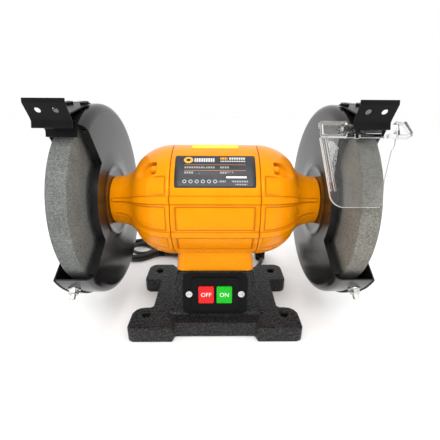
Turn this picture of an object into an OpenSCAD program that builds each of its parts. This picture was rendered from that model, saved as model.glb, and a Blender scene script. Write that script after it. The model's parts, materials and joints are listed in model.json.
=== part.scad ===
// Double-ended bench grinder for 200 mm wheels, on a cast base with a free mains cord.
// X runs along the shaft, Y runs to the back and Z runs up, in millimetres.
// The origin is the middle of the four bench bolt holes, on the surface it stands on.

/* [Wheels and shaft] */
// Diameter of each abrasive wheel
wheel_d = 200; // [180:1:200]
// Width of each abrasive wheel
wheel_w = 20; // [16:1:20]
// Distance from the middle of the machine to each wheel's inner face
wheel_x = 134; // [134:0.5:135]
// Height of the shaft above the bench
axis_h = 150; // [150:1:160]
// Distance of the shaft behind the origin
axis_y = 5; // [3:1:6]
// Radius of the shaft where a wheel sits
arbor_r = 8; // [8:0.1:8.2]
// Radius of the shaft where a bearing sits
journal_r = 8.5; // [8.4:0.1:8.5]

/* [Motor] */
// Outer radius of the motor housing
motor_r = 66; // [66:0.5:67]
// Half length of the motor housing between the end bells
seam_x = 47; // [46:0.5:48]
// Outer radius of the neck that carries a guard
neck_r = 28.5; // [28:0.5:29]
// Distance from the middle to each neck's end face
neck_x = 121; // [120.5:0.5:121]

/* [Base] */
// Spacing of the bench bolt holes from left to right
bolt_dx = 170; // [166:1:172]
// Spacing of the bench bolt holes from front to back
bolt_dy = 100; // [98:1:102]
// Radius of a bench bolt hole
bolt_r = 5; // [4:0.5:5.5]
// Height of the feet
foot_h = 20; // [19:0.5:21]
// Height of the top of the base casting
base_top = 73; // [72:0.5:74]
// Wall thickness of the castings
cast_wall = 4.5; // [4:0.5:5]

/* [Guards] */
// Outer radius of a guard's drum
guard_r = 110.5; // [110:0.5:112]
// Angle of the guard opening above the front horizontal
open_top = 58; // [56:1:60]
// Angle of the guard opening below the front horizontal
open_low = 29; // [26:1:32]
// Radius of the guard wall that stays around the neck
open_r = 61; // [58:1:62]
// Thickness of the pressed steel sheet
sheet = 1.5; // [1.5:0.1:2]

/* [Eye shield] */
// Thickness of the clear sheet
shield_t = 2.5; // [2:0.5:3]
// Lean of the clear sheet from the vertical
shield_lean = 31.5; // [28:0.5:34]

/* [Mains cord] */
// Outer diameter of the mains cord
cord_d = 6; // [5.5:0.5:6]

/* [Hidden] */
$fn = 96;

yellow = "orange";
black = "dimgray";
steel = "silver";
dark = "darkslategray";
stone = "darkgray";

// Helpers ---------------------------------------------------------------

// Points of an arc about a centre, from one angle to another.
function arc(cx, cy, r, a0, a1, n = 8) =
    [for (i = [0:n]) let (a = a0 + (a1 - a0) * i / n) [cx + r * cos(a), cy + r * sin(a)]];
// The same points with the first coordinate's sign changed, in the other order.
function flipped(p) = [for (i = [len(p) - 1:-1:0]) [-p[i][0], p[i][1]]];
// Unit vector of a 2-D vector.
function unit(v) = v / norm(v);
// Points beside an open line, at a signed distance, mitred at the bends.
function beside(p, d) = [for (i = [0:len(p) - 1])
    let (a = unit(p[min(i + 1, len(p) - 1)] - p[min(i, len(p) - 2)]),
         b = unit(p[max(i, 1)] - p[max(i - 1, 0)]),
         n = unit([-a[1] - b[1], a[0] + b[0]]),
         k = 1 / (n * [-a[1], a[0]]))
    p[i] + n * d * k];
// Outline of a bent sheet along an open line.
function bent(p, t) = concat(beside(p, t / 2), [for (i = [len(p) - 1:-1:0]) beside(p, -t / 2)[i]]);

// Puts its children on the shaft's axis.
module on_axis() {
    translate([0, axis_y, axis_h]) children();
}
// Mirrors its children to one end of the machine: -1 is left, 1 is right.
module at_end(s) {
    if (s < 0) mirror([1, 0, 0]) children();
    else children();
}
// Turned solid about the shaft from [radius, x] points.
module turned(points) {
    on_axis() rotate([0, 90, 0]) rotate_extrude() polygon(points);
}
// Round bar or disc about the shaft.
module disc(r, x0, x1) {
    on_axis() translate([x0, 0, 0]) rotate([0, 90, 0]) cylinder(r = r, h = x1 - x0);
}
// Ring about the shaft.
module ring(r0, r1, x0, x1) {
    difference() {
        disc(r1, x0, x1);
        disc(r0, x0 - 1, x1 + 1);
    }
}
// Part of a ring, between two angles above the front horizontal.
module sector(r0, r1, x0, x1, f0, f1) {
    on_axis() rotate([0, 90, 0]) rotate([0, 0, 270 - f1]) rotate_extrude(angle = f1 - f0)
        translate([r0, x0]) square([r1 - r0, x1 - x0]);
}
// Puts its children at a radius and an angle above the front horizontal, with +Z along +X.
module at_polar(r, f, x) {
    on_axis() translate([x, -r * cos(f), r * sin(f)]) rotate([0, 90, 0]) children();
}
// Solid along X from an outline of [y, z] points.
module along_x(points, x0, x1) {
    translate([x0, 0, 0]) rotate([90, 0, 90]) linear_extrude(x1 - x0) polygon(points);
}
// Solid along Y from an outline of [x, z] points.
module along_y(points, y0, y1) {
    translate([0, y1, 0]) rotate([90, 0, 0]) linear_extrude(y1 - y0) polygon(points);
}
// Rounded rectangle about its middle.
module rounded(w, h, r) {
    polygon(concat(arc(w / 2 - r, h / 2 - r, r, 0, 90), arc(r - w / 2, h / 2 - r, r, 90, 180),
        arc(r - w / 2, r - h / 2, r, 180, 270), arc(w / 2 - r, r - h / 2, r, 270, 360)));
}
// Tube along a list of points, closed at both ends, as one solid.
module tube(path, r, sides = 10) {
    n = len(path);
    points = [for (i = [0:n - 1])
        let (t = unit(path[min(i + 1, n - 1)] - path[max(i - 1, 0)]),
             u = unit(cross(t, abs(t[2]) > 0.9 ? [1, 0, 0] : [0, 0, 1])),
             w = cross(t, u))
        for (k = [0:sides - 1]) path[i] + r * (u * cos(360 * k / sides) + w * sin(360 * k / sides))];
    faces = concat([[for (k = [0:sides - 1]) k]],
        [[for (k = [sides - 1:-1:0]) (n - 1) * sides + k]],
        [for (i = [0:n - 2]) for (k = [0:sides - 1])
            [i * sides + k, (i + 1) * sides + k, (i + 1) * sides + (k + 1) % sides]],
        [for (i = [0:n - 2]) for (k = [0:sides - 1])
            [i * sides + k, (i + 1) * sides + (k + 1) % sides, i * sides + (k + 1) % sides]]);
    polyhedron(points, faces);
}
// Smooth path through hand-placed points, with a few steps between each pair.
function smooth(p, steps) = [for (i = [0:len(p) - 2]) for (j = [0:steps - 1])
    let (a = p[max(i - 1, 0)], b = p[i], c = p[i + 1], d = p[min(i + 2, len(p) - 1)], t = j / steps)
    0.5 * (2 * b + (c - a) * t + (2 * a - 5 * b + 4 * c - d) * t * t
        + (3 * b - a - 3 * c + d) * t * t * t)];
function closed_path(p, steps) = concat(smooth(p, steps), [p[len(p) - 1]]);

// Base --------------------------------------------------------------------

hole_x = bolt_dx / 2;
hole_y = bolt_dy / 2;
foot_x = hole_x + 18;
foot_front = -hole_y - 25;
foot_back = hole_y + 20;
slope_low = [-49, foot_h];
slope_top = [-37, base_top];
slope_deg = atan2(slope_top[1] - slope_low[1], slope_top[0] - slope_low[0]);
half_outline = concat([[48, foot_front + 8], [50, foot_front]],
    arc(foot_x - 5, foot_front + 5, 5, -90, 0, 4),
    arc(foot_x - 14, foot_front + 25, 14, 0, 90, 6),
    arc(83, foot_front + 43, 4, 270, 180, 3),
    arc(83, 20, 4, 180, 90, 3),
    arc(foot_x - 7, 31, 7, -90, 0, 4),
    arc(foot_x - 12, foot_back - 12, 12, 0, 90, 6),
    [[67, foot_back], [61, foot_back - 8]]);

module base_body(inset, z_low) {
    // Block between the feet and the pedestal, narrower at its top on all four sides.
    intersection() {
        along_x([[slope_low[0] + inset, z_low], [slope_low[0] + inset, foot_h], [slope_top[0] + inset,
            base_top - inset], [47 - inset, base_top - inset], [57 - inset, foot_h],
            [57 - inset, z_low]], -60, 60);
        along_y([[-57.5 + inset, z_low], [-57.5 + inset, foot_h], [-46.5 + inset, base_top - inset],
            [46.5 - inset, base_top - inset], [57.5 - inset, foot_h], [57.5 - inset, z_low]], -60, 60);
    }
}
module on_slope() {
    translate([0, (slope_low[0] + slope_top[0]) / 2, (slope_low[1] + slope_top[1]) / 2])
        rotate([slope_deg, 0, 0]) children();
}
boss_x = 64;
boss_y = 50;
module base_casting() color(black) {
    difference() {
        union() {
            linear_extrude(foot_h) polygon(concat(half_outline, flipped(half_outline)));
            base_body(0, 10);
            at_gland(50) cylinder(r = 11, h = gland_y - 50);
        }
        base_body(cast_wall, 9);
        difference() {
            translate([-72, -58, -1]) cube([144, 114, 17]);
            for (x = [-boss_x, boss_x]) for (y = [-boss_y, boss_y])
                translate([x, y, 4.5]) cylinder(r = 5, h = 12);
        }
        for (x = [-boss_x, boss_x]) for (y = [-boss_y, boss_y])
            translate([x, y, 4]) cylinder(r = 1.9, h = 10);
        for (x = [-hole_x, hole_x]) for (y = [-hole_y, hole_y])
            translate([x, y, -1]) cylinder(r = bolt_r, h = foot_h + 2);
        for (x = [-62, 62]) translate([x, 1, 10]) cylinder(r = 1.6, h = 12);
        translate([0, axis_y, base_top - 10]) cylinder(r = 10, h = 12);
        for (x = [-34, 34]) for (y = [-22, 32])
            translate([x, y, base_top - 10]) cylinder(r = 3, h = 12);
        on_slope() translate([-27, -18, -8]) cube([54, 36, 12]);
        on_slope() for (x = [-screw_x, screw_x]) translate([x, 0, -8]) cylinder(r = 1.9, h = 12);
        at_gland(40) cylinder(r = 9, h = 8);
        at_gland(40) cylinder(r = 6, h = 30);
    }
}
module bottom_plate() color(steel) difference() {
    translate([-71.7, -57.7, 2.5]) cube([143.4, 113.4, 2]);
    for (x = [-boss_x, boss_x]) for (y = [-boss_y, boss_y])
        translate([x, y, 0]) cylinder(r = 2.3, h = 10);
    for (x = [-24, 24]) translate([x, 6, 0]) cylinder(r = 1.7, h = 10);
}
// Pan-head screw pointing up, with its head's underside at the origin.
module screw(r, length, head_r, head_h) {
    cylinder(r = r, h = length);
    difference() {
        translate([0, 0, -head_h]) cylinder(r = head_r, h = head_h);
        for (a = [0, 90]) rotate([0, 0, a])
            translate([-head_r * 0.6, -0.5, -head_h - 1]) cube([head_r * 1.2, 1, 1 + head_h * 0.6]);
    }
}
module bottom_plate_screws() color(steel)
    for (x = [-boss_x, boss_x]) for (y = [-boss_y, boss_y])
        translate([x, y, 2.5]) screw(1.85, 9, 3.6, 2);
module pedestal_screws() color(steel)
    for (x = [-34, 34]) for (y = [-22, 32])
        translate([x, y, base_top - cast_wall]) screw(2.9, 10, 5, 3);

// Motor -------------------------------------------------------------------

bore_r = 57.5;
ped_y0 = -35;
ped_y1 = 45;
module motor_housing() color(yellow) difference() {
    union() {
        disc(motor_r, -seam_x, seam_x);
        along_y([[-47, base_top + 3], [-44, base_top], [44, base_top], [47, base_top + 3],
            [44, base_top + 26], [-44, base_top + 26]], ped_y0, ped_y1);
        for (f = band_f) sector(motor_r - 1, motor_r + 1.2, -seam_x, seam_x, f[0], f[1]);
    }
    disc(bore_r, -seam_x - 1, seam_x + 1);
    // Cooling and label panels let into the front and the back.
    for (m = [0, 180]) {
        for (f = [-11.5, -40]) mirrored_panel(m, f, f + (f < -20 ? 20 : 23));
    }
    // Room for the wires inside the pedestal, open to the base.
    difference() {
        translate([-38, ped_y0 + 5, base_top - 1]) cube([76, ped_y1 - ped_y0 - 10, 16]);
        for (x = [-34, 34]) for (y = [-22, 32])
            translate([x, y, base_top - 2]) cylinder(r = 6, h = 20);
    }
    translate([0, axis_y, base_top]) cylinder(r = 8, h = 30);
    for (x = [-34, 34]) for (y = [-22, 32])
        translate([x, y, base_top - 1]) cylinder(r = 2.95, h = 8);
    for (s = [-1, 1]) at_end(s) for (f = bell_screw_f)
        at_polar(bell_screw_r, f, seam_x - 9) cylinder(r = 1.7, h = 12);
}
module mirrored_panel(m, f0, f1) {
    if (m == 0) sector(motor_r - 1, motor_r + 2, -38, 38, f0, f1);
    else sector(motor_r - 1, motor_r + 2, -38, 38, 180 - f1, 180 - f0);
}
bell_screw_r = 59.8;
bell_screw_f = [50, -50, 130, -130];
band_f = [[14, 21.5], [-19.5, -12.5], [158.5, 166], [192.5, 199.5]];
// Outline of a bell from its seam to its neck, as [radius, x] points.
function bell_curve(inset) = concat(
    [for (t = [0:10:70]) [28.5 + (motor_r - 28.5 - inset) * cos(t), seam_x + (48 - inset) * sin(t)]],
    [[35.5 - inset, 95 - inset * 0.6], [32.5 - inset, 98.5 - inset * 0.6]]);
bearing_x = 103;
bearing_w = 12;
bearing_r = 20;
pocket_x = seam_x + 15;
// Outline of a bell's outside from its seam to its neck, standing proud by a distance.
function bell_outside(proud) = concat(bell_curve(-proud), [[30 + proud, 104],
    [neck_r + proud, neck_x - (proud > 0 ? 4 : 0)]]);
module bell_solid(proud) turned(concat([[10.5, seam_x]], bell_outside(proud),
    [[10.5, neck_x - (proud > 0 ? 4 : 0)]]));
module end_bell() color(yellow) difference() {
    union() {
        difference() {
            bell_solid(0);
            turned(concat([[0, seam_x - 1], [bell_curve(cast_wall)[0][0], seam_x - 1]],
                [for (i = [0:7]) bell_curve(cast_wall)[i]], [[24, 94], [12, 96], [0, 96]]));
        }
        // Bosses that hold the corner screws.
        for (f = bell_screw_f) intersection() {
            bell_solid(0);
            at_polar(bell_screw_r, f, seam_x) cylinder(r = 10.5, h = 30);
        }
        // Raised bands from the seam to the neck, front and back.
        for (f = band_f) on_axis() rotate([0, 90, 0]) rotate([0, 0, 270 - f[1]])
            rotate_extrude(angle = f[1] - f[0])
            polygon(concat([[40, seam_x]], bell_outside(1.2), [[25, neck_x - 4], [25, 100], [40, 84]]));
    }
    disc(10.5, 90, neck_x + 1);
    disc(bearing_r, bearing_x - 1.5, neck_x + 1);
    for (f = bell_screw_f) {
        at_polar(bell_screw_r + 0.5, f, pocket_x) cylinder(r = 8.2, h = 30);
        at_polar(bell_screw_r, f, seam_x - 1) cylinder(r = 1.9, h = 20);
    }
    for (a = guard_screw_f) at_polar(guard_screw_r, a, neck_x - 9) cylinder(r = 1.6, h = 12);
}
module bell_screws() color(steel) for (f = bell_screw_f)
    at_polar(bell_screw_r, f, pocket_x) rotate([180, 0, 0]) screw(1.65, 23, 3.6, 3);
module left_end_bell() at_end(-1) end_bell();
module right_end_bell() at_end(1) end_bell();
module left_bell_screws() at_end(-1) bell_screws();
module right_bell_screws() at_end(1) bell_screws();

stator_in = 37;
module stator_core() color(steel) difference() {
    disc(bore_r, -28, 28);
    disc(stator_in, -29, 29);
    for (a = [0:15:345]) at_polar(stator_in + 3, a, -29) cylinder(r = 1.5, h = 58, $fn = 16);
}
module stator_windings() color("peru") for (s = [-1, 1]) at_end(s)
    turned([[40, 28], [54, 28], [54, 40], [51, 43], [43, 43], [40, 40]]);
module rotor_core() color(steel) difference() {
    disc(stator_in - 0.5, -30, 30);
    disc(10, -31, 31);
}

// Turning parts -------------------------------------------------------------

flange_x = wheel_x - 0.5 - 6.5;
outer_face = wheel_x + wheel_w;
nut_x = outer_face + 0.5 + 5;
shaft_x = nut_x + 10.5;
module shaft() color(steel) union() {
    disc(10, 0.5 - bearing_x, bearing_x - 0.5);
    disc(journal_r, -flange_x, flange_x);
    disc(arbor_r, -shaft_x, shaft_x);
}
module bearing_outer() color(steel) difference() {
    ring(16.5, bearing_r, bearing_x - 0.5, bearing_x + bearing_w - 0.5);
    on_axis() rotate([0, 90, 0]) rotate_extrude() translate([14.25, ball_x]) circle(r = 3.6, $fn = 48);
}
ball_x = bearing_x - 0.5 + bearing_w / 2;
module bearing_inner() color(steel) difference() {
    ring(journal_r, 12, bearing_x - 0.5, bearing_x + bearing_w - 0.5);
    on_axis() rotate([0, 90, 0]) rotate_extrude() translate([14.25, ball_x]) circle(r = 3.6, $fn = 48);
}
// Balls joined by a thin cage ring.
module bearing_balls() color(steel) union() {
    ring(13.3, 15.2, ball_x - 1.2, ball_x + 1.2);
    // Each ball is turned so that its seam stays clear of the cage.
    for (a = [0:45:315]) at_polar(14.25, a, ball_x) rotate([0, 0, 270 - a]) sphere(r = 3.5, $fn = 32);
}
module left_bearing_outer() at_end(-1) bearing_outer();
module right_bearing_outer() at_end(1) bearing_outer();
module left_bearing_inner() at_end(-1) bearing_inner();
module right_bearing_inner() at_end(1) bearing_inner();
module left_bearing_balls() at_end(-1) bearing_balls();
module right_bearing_balls() at_end(1) bearing_balls();
module wave_washer() color(steel) ring(17, 19.8, bearing_x - 1.4, bearing_x - 0.6);

flange_r = 38;
module inner_flange() color(steel) turned([[arbor_r, flange_x], [14, flange_x], [20, flange_x + 2],
    [flange_r, flange_x + 3], [flange_r, wheel_x - 0.5], [flange_r - 8, wheel_x - 0.5],
    [flange_r - 8, wheel_x - 1.5], [arbor_r, wheel_x - 1.5]]);
module outer_flange() color(steel) turned([[arbor_r, outer_face + 1.5], [flange_r - 8, outer_face + 1.5],
    [flange_r - 8, outer_face + 0.5], [flange_r, outer_face + 0.5], [flange_r, outer_face + 3],
    [24, nut_x], [arbor_r, nut_x]]);
module blotters() color("wheat") {
    ring(arbor_r + 4, flange_r, wheel_x - 0.5, wheel_x);
    ring(arbor_r + 4, flange_r, outer_face, outer_face + 0.5);
}
module wheel() color(stone) turned([[arbor_r, wheel_x], [wheel_d / 2 - 1, wheel_x],
    [wheel_d / 2, wheel_x + 1], [wheel_d / 2, outer_face - 1], [wheel_d / 2 - 1, outer_face],
    [arbor_r, outer_face]]);
module nut() color(steel) difference() {
    on_axis() translate([nut_x, 0, 0]) rotate([0, 90, 0]) cylinder(r = 13.8, h = 8, $fn = 6);
    disc(arbor_r, nut_x - 1, nut_x + 9);
}
module left_inner_flange() at_end(-1) inner_flange();
module right_inner_flange() at_end(1) inner_flange();
module left_outer_flange() at_end(-1) outer_flange();
module right_outer_flange() at_end(1) outer_flange();
module left_blotters() at_end(-1) blotters();
module right_blotters() at_end(1) blotters();
module left_wheel() at_end(-1) wheel();
module right_wheel() at_end(1) wheel();
module left_nut() at_end(-1) nut();
module right_nut() at_end(1) nut();

// Guards ----------------------------------------------------------------------

guard_screw_r = 24.3;
guard_screw_f = [45, 135, 225, 315];
wall_x = neck_x;
drum_x = 161;
cover_x = drum_x + sheet;
corner_r = 9;
lip_w = 8;
port_f = -128;
port_x = 145;
drum_top = open_top + 3;
// Outline of the drawn drum as [radius, x] points, at one surface of the sheet.
function drum_curve(t) = arc(guard_r - corner_r, wall_x + corner_r, corner_r - t, 0, -90, 8);
module drum_shell() turned(concat([[12, wall_x + sheet]], [for (i = [8:-1:0]) drum_curve(sheet)[i]],
    [[guard_r - sheet, drum_x], [guard_r, drum_x]], drum_curve(0), [[12, wall_x]]));
module guard() color(black) difference() {
    union() {
        difference() {
            union() {
                drum_shell();
                // Pressed ring around the neck.
                ring(37, 45, wall_x - 1.2, wall_x + 0.2);
                // Dust outlet at the lower back.
                port_tube(13.5, guard_r - 6, guard_r + 10);
            }
            sector(open_r, guard_r + 5, wall_x - 3, drum_x + 3, -open_low, open_top);
            sector(guard_r - 12, guard_r + 5, wall_x + corner_r + 1.5, drum_x + 3, open_top - 1, drum_top);
            port_tube(12, guard_r - 12, guard_r + 12);
        }
        // Flanged edge of the opening.
        sector(open_r + 0.8 - sheet, open_r + 0.8, wall_x + 0.2, wall_x + lip_w, -open_low - 0.7,
            open_top + 0.7);
        for (f = [-open_low, open_top]) on_axis() rotate([-f, 0, 0])
            translate([wall_x + 0.3, 3 - guard_r, f > 0 ? -0.4 : 0.4 - sheet])
                cube([lip_w - 0.5, guard_r - 2.6 - open_r, sheet]);
    }
    disc(21, wall_x - 3, wall_x + 5);
    for (f = guard_screw_f) at_polar(guard_screw_r, f, wall_x - 5) cylinder(r = 1.9, h = 12);
    for (f = cover_screw_f) radial_hole(f, 156, 1.7);
    for (x = arrester_screw_x) top_hole(x, 1.9);
    radial_hole(rest_f, rest_x, 3.1);
}
module port_tube(r, r0, r1) on_axis() rotate([-port_f, 0, 0]) translate([port_x, -r0, 0])
    rotate([90, 0, 0]) cylinder(r = r, h = r1 - r0);
module radial_hole(f, x, r) on_axis() rotate([-f, 0, 0]) translate([x, -guard_r + 12, 0])
    rotate([90, 0, 0]) cylinder(r = r, h = 30);
cover_screw_f = [100, 190, 270];
rim_r = guard_r + sheet + 0.3;
rim_x = 147;
module guard_cover() color(black) difference() {
    turned([[0, cover_x + 9.5], [49, cover_x + 9.5], [53, drum_x], [guard_r + 0.3, drum_x],
        [guard_r + 0.3, rim_x], [rim_r, rim_x], [rim_r, cover_x], [54.5, cover_x],
        [50.5, cover_x + 11], [0, cover_x + 11]]);
    sector(open_r, rim_r + 5, 140, cover_x + 3, -open_low, open_top);
    sector(guard_r - 4, rim_r + 5, 140, drum_x - 0.5, open_top - 1, 87);
    // Clear of the tool rest bolt and of the dust outlet.
    sector(guard_r - 1, rim_r + 5, 140, drum_x - 0.5, rest_f - 5, 1 - open_low);
    sector(guard_r - 1, rim_r + 5, 140, drum_x - 0.5, port_f - 8, port_f + 8);
    for (f = cover_screw_f) radial_hole(f, 156, 2.1);
}
module guard_screws() color(steel) for (f = guard_screw_f)
    at_polar(guard_screw_r, f, wall_x + sheet) rotate([180, 0, 0]) screw(1.55, 9, 3.4, 2.2);
module cover_screws() color(steel) for (f = cover_screw_f) on_axis() rotate([-f, 0, 0])
    translate([156, -rim_r, 0]) rotate([-90, 0, 0]) screw(1.65, 6, 3.2, 2);
rest_f = -41;
rest_x = 150;
// Carriage bolt through the drum's lower lip, with a square washer and a nut outside.
module rest_bolt() color(steel) on_axis() rotate([-rest_f, 0, 0]) translate([rest_x, 0, 0])
    rotate([90, 0, 0]) union() {
        translate([0, 0, guard_r - sheet - 2.2]) cylinder(r = 6, h = 2);
        translate([0, 0, guard_r - sheet - 1]) cylinder(r = 3, h = 14);
        translate([0, 0, guard_r]) cylinder(r = 6.5, h = 1.4);
        translate([0, 0, guard_r + 1.4]) cylinder(r = 5.7, h = 4.6, $fn = 6);
    }
module left_guard() at_end(-1) guard();
module right_guard() at_end(1) guard();
module left_guard_cover() at_end(-1) guard_cover();
module right_guard_cover() at_end(1) guard_cover();
module left_guard_screws() at_end(-1) guard_screws();
module right_guard_screws() at_end(1) guard_screws();
module left_cover_screws() at_end(-1) cover_screws();
module right_cover_screws() at_end(1) cover_screws();
module left_rest_bolt() at_end(-1) rest_bolt();
module right_rest_bolt() at_end(1) rest_bolt();

// Spark arresters and eye shield -----------------------------------------------

// The arrester's leg touches the drum's top where the leg's slope is the tangent.
leg_f = 81;
leg_r = guard_r + 0.3 + sheet / 2;
leg_touch = [axis_y - leg_r * cos(leg_f), axis_h + leg_r * sin(leg_f)];
leg_dir = [-sin(leg_f), -cos(leg_f)];
leg_front = leg_touch + leg_dir * 63;
leg_back = leg_touch - leg_dir * 3.5;
slot_at = leg_touch + leg_dir * 5;
apron_low = leg_front + [2.5, -7.5];
face_top = leg_front + [-3.5, 10];
lip_top = leg_front + [-6, 16];
arrester_x0 = 124;
arrester_x1 = 160.5;
arrester_screw_x = [134, 150];
pivot = [axis_y - 71, axis_h + 91];
pivot_r = 4.5;
module at_slot(x) translate([x, slot_at[0], slot_at[1]]) rotate([90 - leg_f, 0, 0]) children();
// Drills the drum square to the leg.
module top_hole(x, r) at_slot(x) translate([0, 0, -8]) cylinder(r = r, h = 16);
module hook(x) difference() {
    along_x(concat([[pivot[0] - 7, leg_front[1] - 0.2]], arc(pivot[0], pivot[1], 7, 180, 360, 12),
        [[pivot[0] + 7, leg_front[1] + 2.2]]), x, x + 2.5);
    translate([x - 1, pivot[0], pivot[1]]) rotate([0, 90, 0]) cylinder(r = pivot_r + 0.06, h = 5);
    translate([x - 1, pivot[0], pivot[1]]) rotate([-40, 0, 0]) translate([0, -3.6, -12]) cube([5, 7.2, 12]);
}
module spark_arrester() color(black) difference() {
    union() {
        along_x(bent([leg_back, leg_front, apron_low], sheet), arrester_x0, arrester_x1);
        along_x(bent([leg_front + [0.3, -0.4], face_top, lip_top], sheet), arrester_x0, arrester_x1);
        hook(128);
        hook(154);
    }
    for (x = arrester_screw_x) at_slot(x) translate([-2.2, -5.2, -5]) cube([4.4, 10.4, 10]);
    for (x = [134.5, 150.5]) translate([x, leg_front[0] - 1.8, leg_front[1] + 5.2])
        rotate([90, 0, 0]) cylinder(r = 2.4, h = 14, center = true);
}
module arrester_screws() color(steel) for (x = arrester_screw_x)
    at_slot(x) translate([0, 0, sheet / 2 + 0.2]) rotate([180, 0, 0]) screw(1.85, 8, 4.4, 2.4);
module left_spark_arrester() at_end(-1) spark_arrester();
module right_spark_arrester() at_end(1) spark_arrester();
module left_arrester_screws() at_end(-1) arrester_screws();
module right_arrester_screws() at_end(1) arrester_screws();

// The shield's own plane: x along the machine, y down the sheet, z out of its front.
module on_shield() translate([0, pivot[0], pivot[1]]) rotate([90 - shield_lean, 0, 0]) mirror([0, 1, 0])
    children();
shield_outline = concat([[95.4, 7.9], [101, 60]], arc(113, 60, 12, 180, 92, 6),
    [[144, 72], [147, 68], [150.5, 48], [159.5, 20], [163, 15], [164.5, 7.9]]);
// Hollow end of the shield's top bar: a shallow frame with a web.
module bar_end(x0, x1, slant) difference() {
    translate([0, 0, -3]) linear_extrude(6.5) polygon([[x0, -6.5], [x1 - slant, -6.5], [x1, 4], [x1 - 1, 8],
        [x0, 8]]);
    translate([0, 0, -1]) linear_extrude(6) polygon([[x0 + 2, -4.5], [x1 - slant - 2, -4.5],
        [x1 - 2.5, 4], [x1 - 3, 6], [x0 + 2, 6]]);
}
module eye_shield() color("lightcyan") union() {
    translate([115, pivot[0], pivot[1]]) rotate([0, 90, 0]) cylinder(r = pivot_r, h = 50);
    on_shield() {
        bar_end(95, 119, 0);
        bar_end(164, 178, 5);
        translate([0, 0, -3]) linear_extrude(shield_t) polygon(shield_outline);
        for (x = [[119, 127], [131.5, 153], [157.5, 164.5]])
            translate([x[0], 3.5, -3]) cube([x[1] - x[0], 4.5, 4]);
        for (x = [95.6, 99.4]) translate([x, 6, -1]) rotate([0, 0, -6.1]) cube([1.4, 52, 2]);
    }
}

// Labels, switch and capacitor ------------------------------------------------

module rating_plate() color(dark) sector(motor_r, motor_r + 0.8, -42, 42, 29, 63);
module top_label() color("gold") sector(motor_r, motor_r + 0.5, -26.5, 26.5, 78, 96);

screw_x = 31.5;
button_x = 10.9;
module switch_plate() color("black") on_slope() difference() {
    union() {
        linear_extrude(2.5) rounded(78, 52, 8);
        translate([0, 0, 2.4]) linear_extrude(2.6) rounded(57.5, 41, 5);
    }
    for (x = [-button_x, button_x]) translate([x - 9.5, -10.7, -1]) cube([19, 21.4, 8]);
    for (x = [-screw_x, screw_x]) translate([x, 0, 0]) {
        translate([0, 0, -1]) cylinder(r = 2, h = 8);
        translate([0, 0, 2.5]) cylinder(r = 4.2, h = 6);
    }
}
module switch_body() color(dark) on_slope() difference() {
    translate([-26, -17, -30]) cube([52, 34, 30]);
    for (x = [-button_x, button_x]) translate([x, 0, 0]) {
        translate([-9.5, -10.7, -5]) cube([19, 21.4, 6]);
        translate([-10.4, -11.8, -14]) cube([20.8, 23.6, 10.5]);
    }
}
module button(x, tint) color(tint) on_slope() translate([x, 0, -6]) union() {
    linear_extrude(13) rounded(18.6, 21, 1.5);
    translate([0, 0, -1]) linear_extrude(3) rounded(20.4, 23, 1);
}
module off_button() button(-button_x, "red");
module on_button() button(button_x, "green");
module switch_screws() color(steel) on_slope() for (x = [-screw_x, screw_x])
    translate([x, 0, 2.5]) rotate([180, 0, 0]) screw(1.85, 9, 3.9, 2.2);

cap_at = [0, 6, 23.4];
cap_r = 17;
module capacitor() color("lightgray") translate(cap_at) rotate([0, 90, 0])
    cylinder(r = cap_r, h = 68, center = true);
module capacitor_clamp() color(steel) difference() {
    union() {
        translate(cap_at) rotate([0, 90, 0]) cylinder(r = cap_r + 1.8, h = 12, center = true);
        translate([-30, cap_at[1] - 6, 4.5]) cube([60, 12, 2]);
    }
    translate(cap_at) rotate([0, 90, 0]) cylinder(r = cap_r, h = 80, center = true);
    for (x = [-24, 24]) translate([x, 6, 0]) cylinder(r = 1.7, h = 10);
}

// Mains cord ---------------------------------------------------------------------

gland_x = -22;
gland_y = 57.5;
gland_z = 40;
gland_end = 88;
module at_gland(y) translate([gland_x, y, gland_z]) rotate([-90, 0, 0]) children();
// Gland with a flange on the back wall, a nut inside and a tapered sleeve.
module cord_gland() color("black") difference() {
    union() {
        at_gland(44) cylinder(r = 8, h = 4);
        at_gland(44) cylinder(r = 5.9, h = 16);
        at_gland(gland_y) cylinder(r = 9.5, h = 4.5);
        at_gland(gland_y + 4) cylinder(r1 = 7.5, r2 = 4.4, h = gland_end - gland_y - 4);
    }
    at_gland(gland_end - 8) cylinder(r = cord_d / 2, h = 10);
}
cord_z = cord_d / 2 + 0.2;
// From the gland down to the floor and on to the hank.
tail_path = [[gland_x, 80, gland_z], [gland_x, 92, gland_z], [-21, 101, 38], [-19, 112, 33],
    [-16, 122, 25], [-12.5, 131, 15.5], [-9.5, 140, 8], [-8.5, 150, 4], [-11, 160, cord_z],
    [-17.5, 169, cord_z], [-28, 176, cord_z], [-38, 180, cord_z]];
module cord_tail() color("black") tube(closed_path(tail_path, 4), cord_d / 2);

hank_h = 14;
// Lobes and waist of the hank, each an [x, y, radius].
hank_rings = [[-140, 147, 37], [-103, 143, 12.4], [-91, 143, 12.4], [-62, 158, 27]];
module hank_outline() {
    for (i = [0:2]) hull() for (r = [hank_rings[i], hank_rings[i + 1]])
        translate([r[0], r[1]]) circle(r = r[2], $fn = 32);
}
module cord_hank() color("black") difference() {
    translate([0, 0, 1.2]) linear_extrude(hank_h) hank_outline();
    // The tie draws the waist in.
    for (m = [0, 1]) translate([-97, 143, 0]) mirror([0, m, 0])
        translate([-4, 13, 0]) cube([8, 20, hank_h + 3]);
}
// Flat tie around the waist of the hank.
module cord_tie() color("dimgray") translate([-97, 143, 0]) difference() {
    translate([-4, -14.5, 0]) cube([8, 29, hank_h + 2.4]);
    translate([-5, -13, 1.2]) cube([10, 26, hank_h]);
}

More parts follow.
